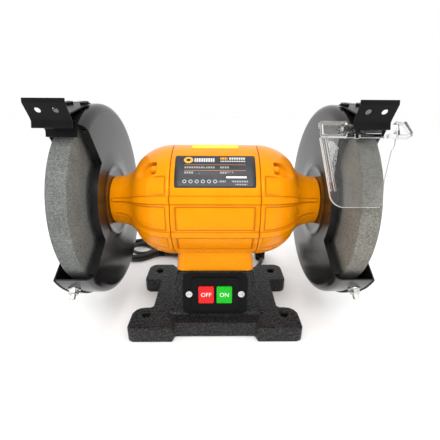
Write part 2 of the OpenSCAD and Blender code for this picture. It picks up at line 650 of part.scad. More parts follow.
// From the hank along the back of the base to the plug.
lead_path = [[-66, 125, 5], [-56, 119, cord_z], [-46, 111, cord_z], [-34, 103, cord_z],
    [-19, 95, cord_z], [-4, 86, cord_z], [14, 78.5, cord_z], [34, 74.5, cord_z], [53, 76.5, cord_z],
    [67, 84, 4], [76, 95, 7.5], [79, 106, 9.5]];
module cord_lead() color("black") tube(closed_path(lead_path, 4), cord_d / 2);
plug_at = [79, 128, 12];
// Angled plug: the blades point left and the cord leaves towards the base.
module mains_plug() color("black") translate(plug_at) union() {
    translate([-8, -12, -12]) cube([16, 26, 24]);
    translate([0, -22, -2.5]) rotate([-90, 0, 0]) cylinder(r1 = 4.2, r2 = 7, h = 11);
    for (y = [-6.3, 6.3]) difference() {
        translate([-24, y - 0.8, 0]) cube([17, 1.6, 6.3]);
        translate([-20.5, y - 2, 3.1]) rotate([-90, 0, 0]) cylinder(r = 1.5, h = 4);
    }
}

base_casting();
bottom_plate();
bottom_plate_screws();
motor_housing();
pedestal_screws();
left_end_bell();
right_end_bell();
left_bell_screws();
right_bell_screws();
stator_core();
stator_windings();
rotor_core();
shaft();
left_bearing_outer();
right_bearing_outer();
left_bearing_inner();
right_bearing_inner();
left_bearing_balls();
right_bearing_balls();
wave_washer();
left_inner_flange();
right_inner_flange();
left_wheel();
right_wheel();
left_blotters();
right_blotters();
left_outer_flange();
right_outer_flange();
left_nut();
right_nut();
left_guard();
right_guard();
left_guard_cover();
right_guard_cover();
left_guard_screws();
right_guard_screws();
left_cover_screws();
right_cover_screws();
left_spark_arrester();
right_spark_arrester();
left_arrester_screws();
right_arrester_screws();
left_rest_bolt();
right_rest_bolt();
eye_shield();
rating_plate();
top_label();
switch_plate();
switch_body();
off_button();
on_button();
switch_screws();
capacitor();
capacitor_clamp();
cord_gland();
cord_tail();
cord_hank();
cord_tie();
cord_lead();
mains_plug();
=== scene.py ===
import json
from math import atan2, copysign, cos, degrees, hypot, radians, sin, sqrt, tau

import bmesh
import bpy
import numpy as np
from mathutils import Matrix, Vector

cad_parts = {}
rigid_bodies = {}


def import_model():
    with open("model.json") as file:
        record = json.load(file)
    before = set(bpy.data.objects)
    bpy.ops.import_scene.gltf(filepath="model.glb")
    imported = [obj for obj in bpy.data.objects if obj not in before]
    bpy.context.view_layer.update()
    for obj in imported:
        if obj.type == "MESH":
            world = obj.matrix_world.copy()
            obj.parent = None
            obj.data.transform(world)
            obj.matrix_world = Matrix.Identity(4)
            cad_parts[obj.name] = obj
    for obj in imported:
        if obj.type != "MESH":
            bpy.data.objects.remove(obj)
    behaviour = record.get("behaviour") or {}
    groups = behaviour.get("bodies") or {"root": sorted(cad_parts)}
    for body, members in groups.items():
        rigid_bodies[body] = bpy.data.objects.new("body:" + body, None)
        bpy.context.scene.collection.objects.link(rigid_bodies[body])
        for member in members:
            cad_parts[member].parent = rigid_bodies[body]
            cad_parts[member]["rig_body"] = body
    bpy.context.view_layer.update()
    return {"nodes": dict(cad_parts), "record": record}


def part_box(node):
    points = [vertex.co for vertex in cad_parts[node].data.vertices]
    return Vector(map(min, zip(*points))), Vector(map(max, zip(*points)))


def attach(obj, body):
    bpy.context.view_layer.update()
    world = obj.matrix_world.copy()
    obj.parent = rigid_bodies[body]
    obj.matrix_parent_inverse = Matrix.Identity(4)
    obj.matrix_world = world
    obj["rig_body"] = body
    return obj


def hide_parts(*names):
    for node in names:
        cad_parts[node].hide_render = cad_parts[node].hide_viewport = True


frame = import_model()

scene = bpy.context.scene
mm = 0.001
nodes = frame["nodes"]
slotOf = {row["node"]: row["material_slot"] for row in frame["record"]["subparts"]}
shaftLow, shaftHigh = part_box("shaft")
axisY = (shaftLow.y + shaftHigh.y) / 2 / mm
axisZ = (shaftLow.z + shaftHigh.z) / 2 / mm
for spare in ("Cube", "Light", "Camera"):
    if spare in bpy.data.objects:
        bpy.data.objects.remove(bpy.data.objects[spare])

def newObject(name, data):
    made = bpy.data.objects.new(name, data)
    scene.collection.objects.link(made)
    return made

# Camera and lights

camera = {"place": (0.0010, -0.3486, 0.2674), "down": 22.223, "right": 0.797, "roll": 0.374,
    "lens": 24.54, "sensor": 36, "near": 0.01}
cameraData = bpy.data.cameras.new("camera")
cameraData.lens = camera["lens"]
cameraData.sensor_width = camera["sensor"]
cameraData.clip_start = camera["near"]
cameraObject = newObject("camera", cameraData)
cameraObject.matrix_world = (Matrix.Translation(camera["place"])
    @ Matrix.Rotation(-radians(camera["right"]), 4, "Z")
    @ Matrix.Rotation(radians(90 - camera["down"]), 4, "X")
    @ Matrix.Rotation(radians(camera["roll"]), 4, "Z"))
scene.camera = cameraObject
scene.view_settings.view_transform = "Standard"

studio = {"sky": (1.0, 1.0, 1.0), "skyPower": 1.0, "aim": (0, 0, 0.13),
    "floor": {"colour": (0.995, 0.995, 0.99), "rough": 0.7, "size": 12, "drop": 0.0004},
    "key": {"place": (0.0, -0.85, 1.05), "size": (0.9, 0.3), "power": 6},
    "left": {"place": (-0.9, -0.35, 0.75), "size": (0.4, 0.8), "power": 1.5},
    "right": {"place": (0.9, -0.35, 0.75), "size": (0.4, 0.8), "power": 1.5},
    "glint": {"place": (0.0, -0.42, 1.35), "size": (0.3, 0.06), "power": 2.4}}
world = bpy.data.worlds.new("studio")
scene.world = world
world.use_nodes = True
background = world.node_tree.nodes["Background"]
background.inputs["Color"].default_value = (*studio["sky"], 1)
background.inputs["Strength"].default_value = studio["skyPower"]
for name in ("key", "left", "right", "glint"):
    lamp = studio[name]
    lampData = bpy.data.lights.new(name, "AREA")
    lampData.shape = "RECTANGLE"
    lampData.size, lampData.size_y = lamp["size"]
    lampData.energy = lamp["power"]
    lampObject = newObject(name, lampData)
    towards = Vector(studio["aim"]) - Vector(lamp["place"])
    turn = towards.to_track_quat("-Z", "Y").to_matrix().to_4x4()
    lampObject.matrix_world = Matrix.Translation(lamp["place"]) @ turn
print("camera and lights ready")

# Materials

# Values inside the shared patterns
# The hammered finish's speck and top values shape its painted glints
pattern = {"mottleSpan": (0.3, 0.7), "domeSoft": 0.6, "domeReach": (0.0, 0.8), "warpScale": 260,
    "warpBy": 0.002, "speckScale": 1100, "speckSpan": (0.64, 0.70), "speckLight": 0.8,
    "topSpan": (0.35, 0.95), "topLight": 0.2, "gritMottle": 45}
finish = {}

def mathNode(tree, operation, first, second=None, third=None, clamp=False):
    node = tree.nodes.new("ShaderNodeMath")
    node.operation = operation
    node.use_clamp = clamp
    for socket, value in zip(node.inputs, (first, second, third)):
        if value is None:
            continue
        if isinstance(value, (int, float)):
            socket.default_value = value
        else:
            tree.links.new(value, socket)
    return node.outputs[0]

def mixColour(tree, factor, first, second):
    node = tree.nodes.new("ShaderNodeMix")
    node.data_type = "RGBA"
    for name, value in (("Factor", factor), ("A", first), ("B", second)):
        socket = [s for s in node.inputs if s.name == name and s.enabled][0]
        if isinstance(value, (int, float)):
            socket.default_value = value
        elif isinstance(value, tuple):
            socket.default_value = (*value, 1)
        else:
            tree.links.new(value, socket)
    return [s for s in node.outputs if s.enabled][0]

def ramp(tree, value, low, high):
    # Takes low to high onto 0 to 1, and holds at both ends
    node = tree.nodes.new("ShaderNodeMapRange")
    node.clamp = True
    node.inputs["From Min"].default_value = low
    node.inputs["From Max"].default_value = high
    tree.links.new(value, node.inputs["Value"])
    return node.outputs["Result"]

def newGroup(name, inputs, outputs):
    tree = bpy.data.node_groups.new(name, "ShaderNodeTree")
    for label, value in inputs.items():
        socket = tree.interface.new_socket(name=label, in_out="INPUT", socket_type="NodeSocketFloat")
        socket.default_value = value
    for label in outputs:
        tree.interface.new_socket(name=label, in_out="OUTPUT", socket_type="NodeSocketFloat")
    return tree, tree.nodes.new("NodeGroupInput"), tree.nodes.new("NodeGroupOutput")

def noiseIn(tree, scale, detail=3, rough=0.55):
    place = tree.nodes.new("ShaderNodeTexCoord")
    node = tree.nodes.new("ShaderNodeTexNoise")
    node.inputs["Detail"].default_value = detail
    node.inputs["Roughness"].default_value = rough
    tree.links.new(place.outputs["Object"], node.inputs["Vector"])
    if isinstance(scale, (int, float)):
        node.inputs["Scale"].default_value = scale
    else:
        tree.links.new(scale, node.inputs["Scale"])
    return node.outputs[0]

def cellsIn(tree, take):
    place = tree.nodes.new("ShaderNodeTexCoord")
    cells = tree.nodes.new("ShaderNodeTexVoronoi")
    tree.links.new(take.outputs["Scale"], cells.inputs["Scale"])
    return place.outputs["Object"], cells

def makeGroups():
    # Soft mottle with a fine grain on top
    tree, take, give = newGroup("mottle", {"Coarse": 60, "Fine": 900, "Grain": 0.3}, ("Mask", "Height"))
    coarse = noiseIn(tree, take.outputs["Coarse"])
    fine = noiseIn(tree, take.outputs["Fine"], 2)
    grain = mathNode(tree, "MULTIPLY", mathNode(tree, "SUBTRACT", fine, 0.5), take.outputs["Grain"])
    spread = ramp(tree, coarse, *pattern["mottleSpan"])
    tree.links.new(mathNode(tree, "ADD", spread, grain, clamp=True), give.inputs["Mask"])
    tree.links.new(mathNode(tree, "ADD", coarse, grain), give.inputs["Height"])
    # Round pebbles of a hammered finish, with painted glints: the pebble tops and fine specks are lightened
    # in the colour to stand in for light catching the paint
    tree, take, give = newGroup("hammered", {"Scale": 400, "Depth": 1.0}, ("Mask", "Height"))
    place, cells = cellsIn(tree, take)
    cells.feature = "SMOOTH_F1"
    cells.inputs["Smoothness"].default_value = pattern["domeSoft"]
    warp = noiseIn(tree, pattern["warpScale"], 2)
    offset = tree.nodes.new("ShaderNodeVectorMath")
    offset.operation = "ADD"
    tree.links.new(place, offset.inputs[0])
    tree.links.new(mathNode(tree, "MULTIPLY", warp, pattern["warpBy"]), offset.inputs[1])
    tree.links.new(offset.outputs[0], cells.inputs["Vector"])
    dome = mathNode(tree, "SUBTRACT", 1.0, ramp(tree, cells.outputs["Distance"], *pattern["domeReach"]))
    tree.links.new(mathNode(tree, "MULTIPLY", dome, take.outputs["Depth"]), give.inputs["Height"])
    paintedGlints = ramp(tree, noiseIn(tree, pattern["speckScale"], 1), *pattern["speckSpan"])
    paintedGlints = mathNode(tree, "MULTIPLY", paintedGlints, pattern["speckLight"])
    paintedDomeGlints = ramp(tree, dome, *pattern["topSpan"])
    tree.links.new(mathNode(tree, "MULTIPLY_ADD", paintedDomeGlints, pattern["topLight"], paintedGlints), give.inputs["Mask"])
    # Sharp small grains of two tones
    tree, take, give = newGroup("grit", {"Scale": 900, "Share": 0.5}, ("Mask", "Height"))
    place, cells = cellsIn(tree, take)
    tree.links.new(place, cells.inputs["Vector"])
    tone = tree.nodes.new("ShaderNodeSeparateColor")
    tree.links.new(cells.outputs["Color"], tone.inputs[0])
    soft = noiseIn(tree, pattern["gritMottle"], 4)
    both = mathNode(tree, "ADD", mathNode(tree, "MULTIPLY", tone.outputs[0], take.outputs["Share"]),
        mathNode(tree, "MULTIPLY", soft, mathNode(tree, "SUBTRACT", 1.0, take.outputs["Share"])))
    tree.links.new(both, give.inputs["Mask"])
    tree.links.new(mathNode(tree, "SUBTRACT", 1.0, cells.outputs["Distance"]), give.inputs["Height"])

makeGroups()

def makeFinish(name, dark, light, settings, rough, bump, span=(0, 1), group="mottle", **fixed):
    # Settings are the pattern's own inputs in order, and bump is strength and distance
    material = bpy.data.materials.new(name)
    material.use_nodes = True
    tree = material.node_tree
    shader = tree.nodes["Principled BSDF"]
    texture = tree.nodes.new("ShaderNodeGroup")
    texture.node_tree = bpy.data.node_groups[group]
    for socket, value in zip(texture.inputs, settings):
        socket.default_value = value
    mask = ramp(tree, texture.outputs["Mask"], *span)
    tree.links.new(mixColour(tree, mask, dark, light), shader.inputs["Base Color"])
    low, high = rough
    tree.links.new(mathNode(tree, "MULTIPLY_ADD", mask, high - low, low), shader.inputs["Roughness"])
    if bump:
        rise = tree.nodes.new("ShaderNodeBump")
        rise.inputs["Strength"].default_value, rise.inputs["Distance"].default_value = bump
        tree.links.new(texture.outputs["Height"], rise.inputs["Height"])
        tree.links.new(rise.outputs["Normal"], shader.inputs["Normal"])
    for label, value in fixed.items():
        shader.inputs[label.replace("_", " ")].default_value = value
    finish[name] = material
    return material

makeFinish("yellowPaint", (0.83, 0.262, 0.001), (0.89, 0.290, 0.0015),
    (35, 420, 0.35), (0.24, 0.30), (0.08, 0.0005), Coat_Weight=0.12,
    Coat_Roughness=0.06, Specular_IOR_Level=0.34, Specular_Tint=(1, 0.55, 0.03, 1))
makeFinish("hammeredBlack", (0.008, 0.008, 0.0085), (0.13, 0.132, 0.135),
    (420, 1.0), (0.32, 0.46), (0.7, 0.0012), Specular_IOR_Level=0.2, group="hammered")
makeFinish("guardPaint", (0.0065, 0.0065, 0.0068), (0.010, 0.010, 0.0102),
    (30, 500, 0.3), (0.17, 0.23), (0.06, 0.0006))
makeFinish("arresterPaint", (0.005, 0.005, 0.005), (0.008, 0.008, 0.008),
    (30, 500, 0.3), (0.22, 0.30), (0.06, 0.0006), Specular_IOR_Level=0.09)
makeFinish("zincSteel", (0.50, 0.50, 0.49), (0.70, 0.70, 0.68),
    (160, 1600, 0.5), (0.24, 0.42), (0.10, 0.0002), Metallic=1.0)
makeFinish("groundSteel", (0.42, 0.42, 0.43), (0.60, 0.60, 0.61),
    (90, 1500, 0.6), (0.20, 0.34), (0.08, 0.0002), Metallic=1.0)
makeFinish("lamination", (0.16, 0.16, 0.17), (0.30, 0.30, 0.31),
    (220, 1700, 0.8), (0.4, 0.6), (0.2, 0.0002), Metallic=1.0)
makeFinish("copperWinding", (0.30, 0.085, 0.025), (0.62, 0.21, 0.07),
    (900, 0.7), (0.3, 0.5), (0.4, 0.0005), Metallic=0.8, group="grit")
makeFinish("abrasive", (0.060, 0.064, 0.060), (0.215, 0.228, 0.212),
    (1050, 0.55), (0.82, 0.95), (0.55, 0.0006), (0.1, 0.9), group="grit")
makeFinish("abrasiveWarm", (0.074, 0.071, 0.060), (0.262, 0.255, 0.222),
    (1050, 0.55), (0.82, 0.95), (0.55, 0.0006), (0.1, 0.9), group="grit")
makeFinish("blotterPaper", (0.42, 0.33, 0.21), (0.60, 0.49, 0.33),
    (240, 1500, 0.8), (0.85, 0.95), (0.2, 0.0002))
makeFinish("yellowLabel", (0.92, 0.60, 0.004), (0.98, 0.70, 0.01),
    (50, 900, 0.2), (0.30, 0.36), (0.04, 0.0002))
makeFinish("blackPlastic", (0.004, 0.004, 0.0045), (0.008, 0.008, 0.0085),
    (1300, 0.6), (0.34, 0.46), (0.12, 0.0003), Specular_IOR_Level=0.07, group="grit")
makeFinish("redPlastic", (0.62, 0.010, 0.010), (0.70, 0.014, 0.014),
    (120, 1500, 0.4), (0.26, 0.34), (0.05, 0.0002), Specular_IOR_Level=0.2)
makeFinish("greenPlastic", (0.004, 0.40, 0.008), (0.006, 0.48, 0.014),
    (120, 1500, 0.4), (0.26, 0.34), (0.05, 0.0002), Specular_IOR_Level=0.2)
makeFinish("greyCan", (0.42, 0.43, 0.44), (0.56, 0.57, 0.58),
    (60, 900, 0.4), (0.3, 0.4), (0.08, 0.0003), Metallic=0.7)
makeFinish("cordSheath", (0.010, 0.010, 0.0105), (0.019, 0.019, 0.0195),
    (220, 1500, 0.7), (0.40, 0.52), (0.15, 0.0003))
makeFinish("whiteInk", (0.80, 0.80, 0.78), (0.88, 0.88, 0.86),
    (300, 1500, 0.4), (0.4, 0.5), (0.05, 0.0002))
makeFinish("clearPlastic", (0.955, 0.975, 0.968), (0.985, 0.992, 0.988),
    (20, 300, 0.1), (0.012, 0.03), None, Metallic=0.0, Transmission_Weight=1.0,
    IOR=1.46)
makeFinish("clearEdge", (0.90, 0.92, 0.91), (0.98, 0.99, 0.985),
    (60, 700, 0.3), (0.25, 0.4), None, Transmission_Weight=0.35, Metallic=0.0,
    IOR=1.4)

# Printed plate: each box is left, right, low and high, as shares of the plate
plate = {"rules": ((0.12, 0.88, 0.655, 0.668), (0.12, 0.88, 0.472, 0.485)), "ruleColour": (0.50, 0.20, 0.06),
    "accent": ((0.565, 0.655, 0.85, 0.93),), "accentColour": (0.90, 0.36, 0.03),
    "white": ((0.24, 0.49, 0.76, 0.90), (0.675, 0.88, 0.85, 0.93), (0.565, 0.88, 0.765, 0.805)),
    "whiteColour": (0.62, 0.62, 0.61),
    "pale": ((0.12, 0.50, 0.545, 0.605), (0.56, 0.67, 0.545, 0.605), (0.12, 0.31, 0.385, 0.445),
        (0.56, 0.72, 0.385, 0.445), (0.545, 0.90, 0.14, 0.19), (0.73, 0.89, 0.065, 0.10)),
    "paleColour": (0.30, 0.30, 0.30), "bar": (0.635, 0.885, 0.255, 0.305), "barColour": (0.85, 0.85, 0.84),
    "dashes": 34, "dashShare": 0.74, "breakScale": 150, "breakAt": 0.42, "stretch": 2.0,
    "rings": 6, "ringStart": 0.125, "ringPitch": 0.075, "ringUp": 0.165, "ringSpan": (0.015, 0.025),
    "ringColour": (0.42, 0.42, 0.42), "disc": (0.165, 0.83), "discSpan": (0.028, 0.058),
    "discColour": (0.90, 0.42, 0.04)}

def boxMask(tree, across, up, left, right, low, high):
    parts = [mathNode(tree, "GREATER_THAN", across, left), mathNode(tree, "LESS_THAN", across, right),
        mathNode(tree, "GREATER_THAN", up, low), mathNode(tree, "LESS_THAN", up, high)]
    total = parts[0]
    for part in parts[1:]:
        total = mathNode(tree, "MULTIPLY", total, part)
    return total

def makeSlate():
    # Plain rules, blocks in place of print, and a row of small rings
    material = makeFinish("slateLabel", (0.024, 0.027, 0.032), (0.036, 0.040, 0.047),
        (70, 900, 0.3), (0.30, 0.38), (0.04, 0.0002), Specular_IOR_Level=0.3)
    tree = material.node_tree
    shader = tree.nodes["Principled BSDF"]
    ground = shader.inputs["Base Color"].links[0].from_socket
    place = tree.nodes.new("ShaderNodeUVMap")
    apart = tree.nodes.new("ShaderNodeSeparateXYZ")
    tree.links.new(place.outputs[0], apart.inputs[0])
    across, up = apart.outputs[0], apart.outputs[1]
    steps = mathNode(tree, "FRACT", mathNode(tree, "MULTIPLY", across, plate["dashes"]))
    dashes = mathNode(tree, "LESS_THAN", steps, plate["dashShare"])
    breaks = noiseIn(tree, plate["breakScale"], 1)
    words = mathNode(tree, "MULTIPLY", dashes, mathNode(tree, "GREATER_THAN", breaks, plate["breakAt"]))

    def together(boxes):
        total = 0.0
        for edges in boxes:
            total = mathNode(tree, "ADD", boxMask(tree, across, up, *edges), total, clamp=True)
        return total

    def ringMask(x, y, low, high):
        dx = mathNode(tree, "SUBTRACT", across, x)
        dy = mathNode(tree, "DIVIDE", mathNode(tree, "SUBTRACT", up, y), plate["stretch"])
        span = mathNode(tree, "SQRT", mathNode(tree, "ADD", mathNode(tree, "MULTIPLY", dx, dx),
            mathNode(tree, "MULTIPLY", dy, dy)))
        return mathNode(tree, "MULTIPLY", mathNode(tree, "GREATER_THAN", span, low),
            mathNode(tree, "LESS_THAN", span, high))

    rings = 0.0
    for step in range(plate["rings"]):
        ring = ringMask(plate["ringStart"] + plate["ringPitch"] * step, plate["ringUp"], *plate["ringSpan"])
        rings = mathNode(tree, "ADD", ring, rings, clamp=True)
    colour = mixColour(tree, together(plate["rules"]), ground, plate["ruleColour"])
    for boxes, breakUp in (("accent", dashes), ("white", dashes), ("pale", words)):
        shape = together(plate[boxes])
        colour = mixColour(tree, mathNode(tree, "MULTIPLY", shape, breakUp), colour, plate[boxes + "Colour"])
    colour = mixColour(tree, boxMask(tree, across, up, *plate["bar"]), colour, plate["barColour"])
    colour = mixColour(tree, rings, colour, plate["ringColour"])
    colour = mixColour(tree, ringMask(*plate["disc"], *plate["discSpan"]), colour, plate["discColour"])
    tree.links.new(colour, shader.inputs["Base Color"])

makeSlate()
# Dark orange of the painted shade laid into the yellow paint along edges, seams and pockets
paintedShadeColour = (0.30, 0.065, 0.001)

# Painted shade along pressed edges, in the seam groove and in the screw pockets, darkened into the paint from
# the shade mask each piece carries as a vertex attribute
def shadeByRelief(material):
    # Dirt and shade that gather along pressed edges, from each piece's own relief attribute
    tree = material.node_tree
    shader = tree.nodes["Principled BSDF"]
    ground = shader.inputs["Base Color"].links[0].from_socket
    relief = tree.nodes.new("ShaderNodeAttribute")
    relief.attribute_name = "relief"
    shade = ramp(tree, relief.outputs["Fac"], 0.0, 1.0)
    tree.links.new(mixColour(tree, shade, ground, paintedShadeColour), shader.inputs["Base Color"])

shadeByRelief(finish["yellowPaint"])
sharedFinish = {"plug_rubber": "blackPlastic", "tie_plastic": "blackPlastic"}

def finishOf(node):
    # A slot's finish has its name in camelCase, unless it shares one
    first, *others = slotOf[node].split("_")
    return sharedFinish.get(slotOf[node], first + "".join(word.capitalize() for word in others))

painted = {"left_arrester_screws": "arresterPaint", "right_arrester_screws": "arresterPaint"}
for name, part in nodes.items():
    part.data.materials.clear()
    part.data.materials.append(finish[painted.get(name, finishOf(name))])
print("materials ready:", len(finish))

# Shared making steps, all in millimetres until a piece is finished

weld = {"made": 0.001, "node": 0.002}  # how far apart doubles may lie
rounding = {"flat": 0.6, "corner": 38, "sharp": 35}  # angles in degrees

def addPiece(name, bm, finishName, stands, sharp, relief=None, body="machine"):
    # Stores the painted shade mask as a vertex attribute for the paint to darken by
    if relief:
        values = [relief.get(vert, 0.0) for vert in bm.verts]
        layer = bm.verts.layers.float.new("relief")
        for vert, value in zip(bm.verts, values):
            vert[layer] = value
    bmesh.ops.scale(bm, vec=(mm, mm, mm), verts=bm.verts)
    mesh = bpy.data.meshes.new(name)
    bm.to_mesh(mesh)
    bm.free()
    mesh.shade_smooth()
    mesh.set_sharp_from_angle(angle=radians(sharp))
    mesh.materials.append(finish[finishName])
    piece = newObject(name, mesh)
    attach(piece, body)
    if stands:
        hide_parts(*stands)
    return piece

def onAxis(radius, angle, x):
    turn = radians(angle)
    return Vector((x, axisY - radius * cos(turn), axisZ + radius * sin(turn)))

def polar(point):
    dy, dz = axisY - point.y, point.z - axisZ
    return hypot(dy, dz), degrees(atan2(dz, dy))

def ringEdges(bm, ring):
    return [bm.edges.new(pair) for pair in zip(ring, ring[1:] + ring[:1])]

def turned(profile, steps, closed=False):
    bm = bmesh.new()
    line = [bm.verts.new(onAxis(r, 0, x)) for r, x in profile]
    edges = ringEdges(bm, line) if closed else [bm.edges.new(pair) for pair in zip(line, line[1:])]
    bmesh.ops.spin(bm, geom=line + edges, cent=(0, axisY, axisZ), axis=(-1, 0, 0), angle=tau,
        steps=steps, use_merge=True)
    bmesh.ops.remove_doubles(bm, verts=bm.verts, dist=weld["made"])
    bmesh.ops.recalc_face_normals(bm, faces=bm.faces)
    bm.normal_update()
    return bm

def turnedAbout(bm, place, along, profile, steps):
    # Adds a turned solid on its own axis: profile is (radius, distance along the axis)
    fit = Matrix.Translation(place) @ Vector(along).to_track_quat("Z", "Y").to_matrix().to_4x4()
    line = [bm.verts.new(fit @ Vector((r, 0, h))) for r, h in profile]
    edges = [bm.edges.new(pair) for pair in zip(line, line[1:])]
    bmesh.ops.spin(bm, geom=line + edges, cent=place, axis=Vector(along).normalized(), angle=tau,
        steps=steps, use_merge=True)

def addBox(bm, size, centre):
    # Returns the box's edges
    made = set(bmesh.ops.create_cube(bm, size=1)["verts"])
    bmesh.ops.scale(bm, vec=size, verts=list(made))
    bmesh.ops.translate(bm, vec=centre, verts=list(made))
    return [edge for edge in bm.edges if edge.verts[0] in made]

def rounded(bm, edges, width, segments):
    bmesh.ops.bevel(bm, geom=edges, offset=width, affect="EDGES", segments=segments, profile=0.5, material=-1,
        clamp_overlap=True)

def onlyOf(kind, grown):
    return [part for part in grown["geom"] if isinstance(part, kind)]

def closeUp(bm):
    bmesh.ops.remove_doubles(bm, verts=bm.verts, dist=weld["made"])
    bmesh.ops.recalc_face_normals(bm, faces=bm.faces)
    return bm

def flip(bm):
    for vert in bm.verts:
        vert.co.x = -vert.co.x
    bmesh.ops.reverse_faces(bm, faces=bm.faces)
    return bm

def sided(bm, side):
    # Pieces are made for the right and flipped for the left
    return flip(bm) if side == "left" else bm

def ease(value, low, high):
    t = min(1.0, max(0.0, (value - low) / (high - low)))
    return t * t * (3 - 2 * t)

def between(value, low, high, soft=1.0):
    rise = ease(value, low - soft / 2, low + soft / 2)
    return rise * (1 - ease(value, high - soft / 2, high + soft / 2))

def nearEdge(value, edges, width=0.95):
    return max(0.0, 1 - min(abs(value - edge) for edge in edges) / width)

def smoothLine(points, steps):
    out = []
    for i in range(len(points) - 1):
        around = (max(i - 1, 0), i, i + 1, min(i + 2, len(points) - 1))
        a, b, c, d = (Vector(points[k]) for k in around)
        for j in range(steps):
            t = j / steps
            out.append(0.5 * (2 * b + (c - a) * t + (2 * a - 5 * b + 4 * c - d) * t ** 2
                + (3 * b - a - 3 * c + d) * t ** 3))
    return out + [Vector(points[-1])]

def arc(cx, cy, radius, start, end, steps):
    turns = [radians(start + (end - start) * i / steps) for i in range(steps + 1)]
    return [(cx + radius * cos(turn), cy + radius * sin(turn)) for turn in turns]

def addWall(piece, name, thickness, offset=-1):
    wall = piece.modifiers.new(name, "SOLIDIFY")
    wall.thickness = thickness * mm
    wall.offset = offset
    return wall

def addRounding(piece, name, width, angle):
    bevel = piece.modifiers.new(name, "BEVEL")
    bevel.width = width * mm
    bevel.segments = 2
    bevel.limit_method = "ANGLE"
    bevel.angle_limit = radians(angle)
    bevel.harden_normals = True

def nodeMesh(node):
    bm = bmesh.new()
    bm.from_mesh(nodes[node].data)
    bmesh.ops.scale(bm, vec=(1 / mm, 1 / mm, 1 / mm), verts=bm.verts)
    bmesh.ops.remove_doubles(bm, verts=bm.verts, dist=weld["node"])
    return bm

def softenedCopy(node, name, width):
    bm = nodeMesh(node)
    bmesh.ops.dissolve_limit(bm, angle_limit=radians(rounding["flat"]), verts=bm.verts, edges=bm.edges)
    body = nodes[node]["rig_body"]
    piece = addPiece(name, bm, finishOf(node), (node,), rounding["sharp"], body=body)
    addRounding(piece, "rounded edges", width, rounding["corner"])
    return piece

# Mains cord: from the gland to the floor, a tied hank of four turns, and the lead to the plug

# A turn is its right radius, left centre, left radius, half width at the tie, and level
cord = {"thick": 6.0, "floor": 3.2, "upper": 9.4, "right": (-62, 158), "tie": (-98, 143), "tieHalf": 12.4,
    "tieReach": (8, -6), "tieOut": 0.6, "tieLift": 1.1, "leftAngles": (70, 300, 25),
    "turns": ((24, (-140, 147), 34, 9.3, 0), (17.6, (-143, 147), 25, 3.1, 0),
        (18, (-131, 147), 21.5, 3.1, 1), (24.2, (-139, 147), 32, 9.3, 1)),
    "crossing": ((265, 0), (290, 0.12), (315, 0.4), (340, 0.7), (365, 0.92), (395, 1), (422, 1)),
    "tail": ((-22, 88, 40), (-22, 92, 39.8), (-21, 101, 38), (-19, 112, 33), (-16, 122, 25),
        (-12.5, 131, 15.5), (-9.5, 140, 8), (-8.5, 150, 4), (-11, 160, 3.2), (-17.5, 169, 3.2),
        (-28, 176, 3.2), (-41, 180.6, 3.2)),
    "lead": ((-76, 129, 8), (-66, 125, 5), (-56, 119, 3.2), (-46, 111, 3.2), (-34, 103, 3.2), (-19, 95, 3.2),
        (-4, 86, 3.2), (14, 78.5, 3.2), (34, 74.5, 3.2), (53, 76.5, 3.2), (67, 84, 4), (76, 95, 7.5),
        (79, 106, 9.5))}
settle = {"rounds": 90, "lastRounds": 3, "step": 2.5, "endPoints": 12, "even": 3.2, "soft": 2.0, "skip": 7,
    "near": 3, "push": 0.3, "apart": 1.02, "tiedReach": 5, "tiedHeight": (4.2, 10.8), "clear": 0.1}
strap = {"centre": (-97, 143), "height": 8.2, "half": (14.3, 8.0), "corner": 6, "width": 8.0, "thick": 1.2}

def onCircle(centre, radius, angle):
    turn = radians(angle)
    return centre[0] + radius * cos(turn), centre[1] + radius * sin(turn)

def hankRoute():
    points = []
    tieX, tieY = cord["tie"]
    levels = (cord["floor"], cord["upper"])
    for number, (rightRadius, leftCentre, leftRadius, half, level) in enumerate(cord["turns"]):
        z = levels[level]
        lifted = z + cord["tieLift"]
        for angle in ((80, 115) if number == 0 else (90, 120)):
            points.append((*onCircle(cord["right"], rightRadius, angle), z))
        points += [(tieX + x, tieY + half + cord["tieOut"], lifted) for x in cord["tieReach"]]
        points += [(*onCircle(leftCentre, leftRadius, angle), z) for angle in range(*cord["leftAngles"])]
        points += [(tieX + x, tieY - half, lifted) for x in reversed(cord["tieReach"])]
        if number == len(cord["turns"]) - 1:
            break
        nextRadius, nextLevel = cord["turns"][number + 1][0], cord["turns"][number + 1][4]
        for angle, share in cord["crossing"]:
            rise = min(1, share * 1.3 + 0.62) if nextLevel > level else share
            grow = min(1, share * 2.4) if nextRadius > rightRadius else share
            radius = rightRadius + (nextRadius - rightRadius) * grow
            points.append((*onCircle(cord["right"], radius, angle), z + (levels[nextLevel] - z) * rise))
    return points

def evenLine(line, step):
    line = np.array([tuple(p) for p in line], float)
    run = np.r_[0, np.cumsum(np.linalg.norm(np.diff(line, axis=0), axis=1))]
    marks = np.linspace(0, run[-1], int(round(run[-1] / step)) + 1)
    return np.stack([np.interp(marks, run, line[:, i]) for i in range(3)], 1)

def softened(values, width):
    reach = int(3 * width)
    weights = np.exp(-0.5 * (np.arange(-reach, reach + 1) / width) ** 2)
    weights /= weights.sum()
    wide = np.pad(values, ((reach, reach), (0, 0)), mode="reflect", reflect_type="odd")
    return np.stack([np.convolve(wide[:, i], weights, "valid") for i in range(3)], 1)

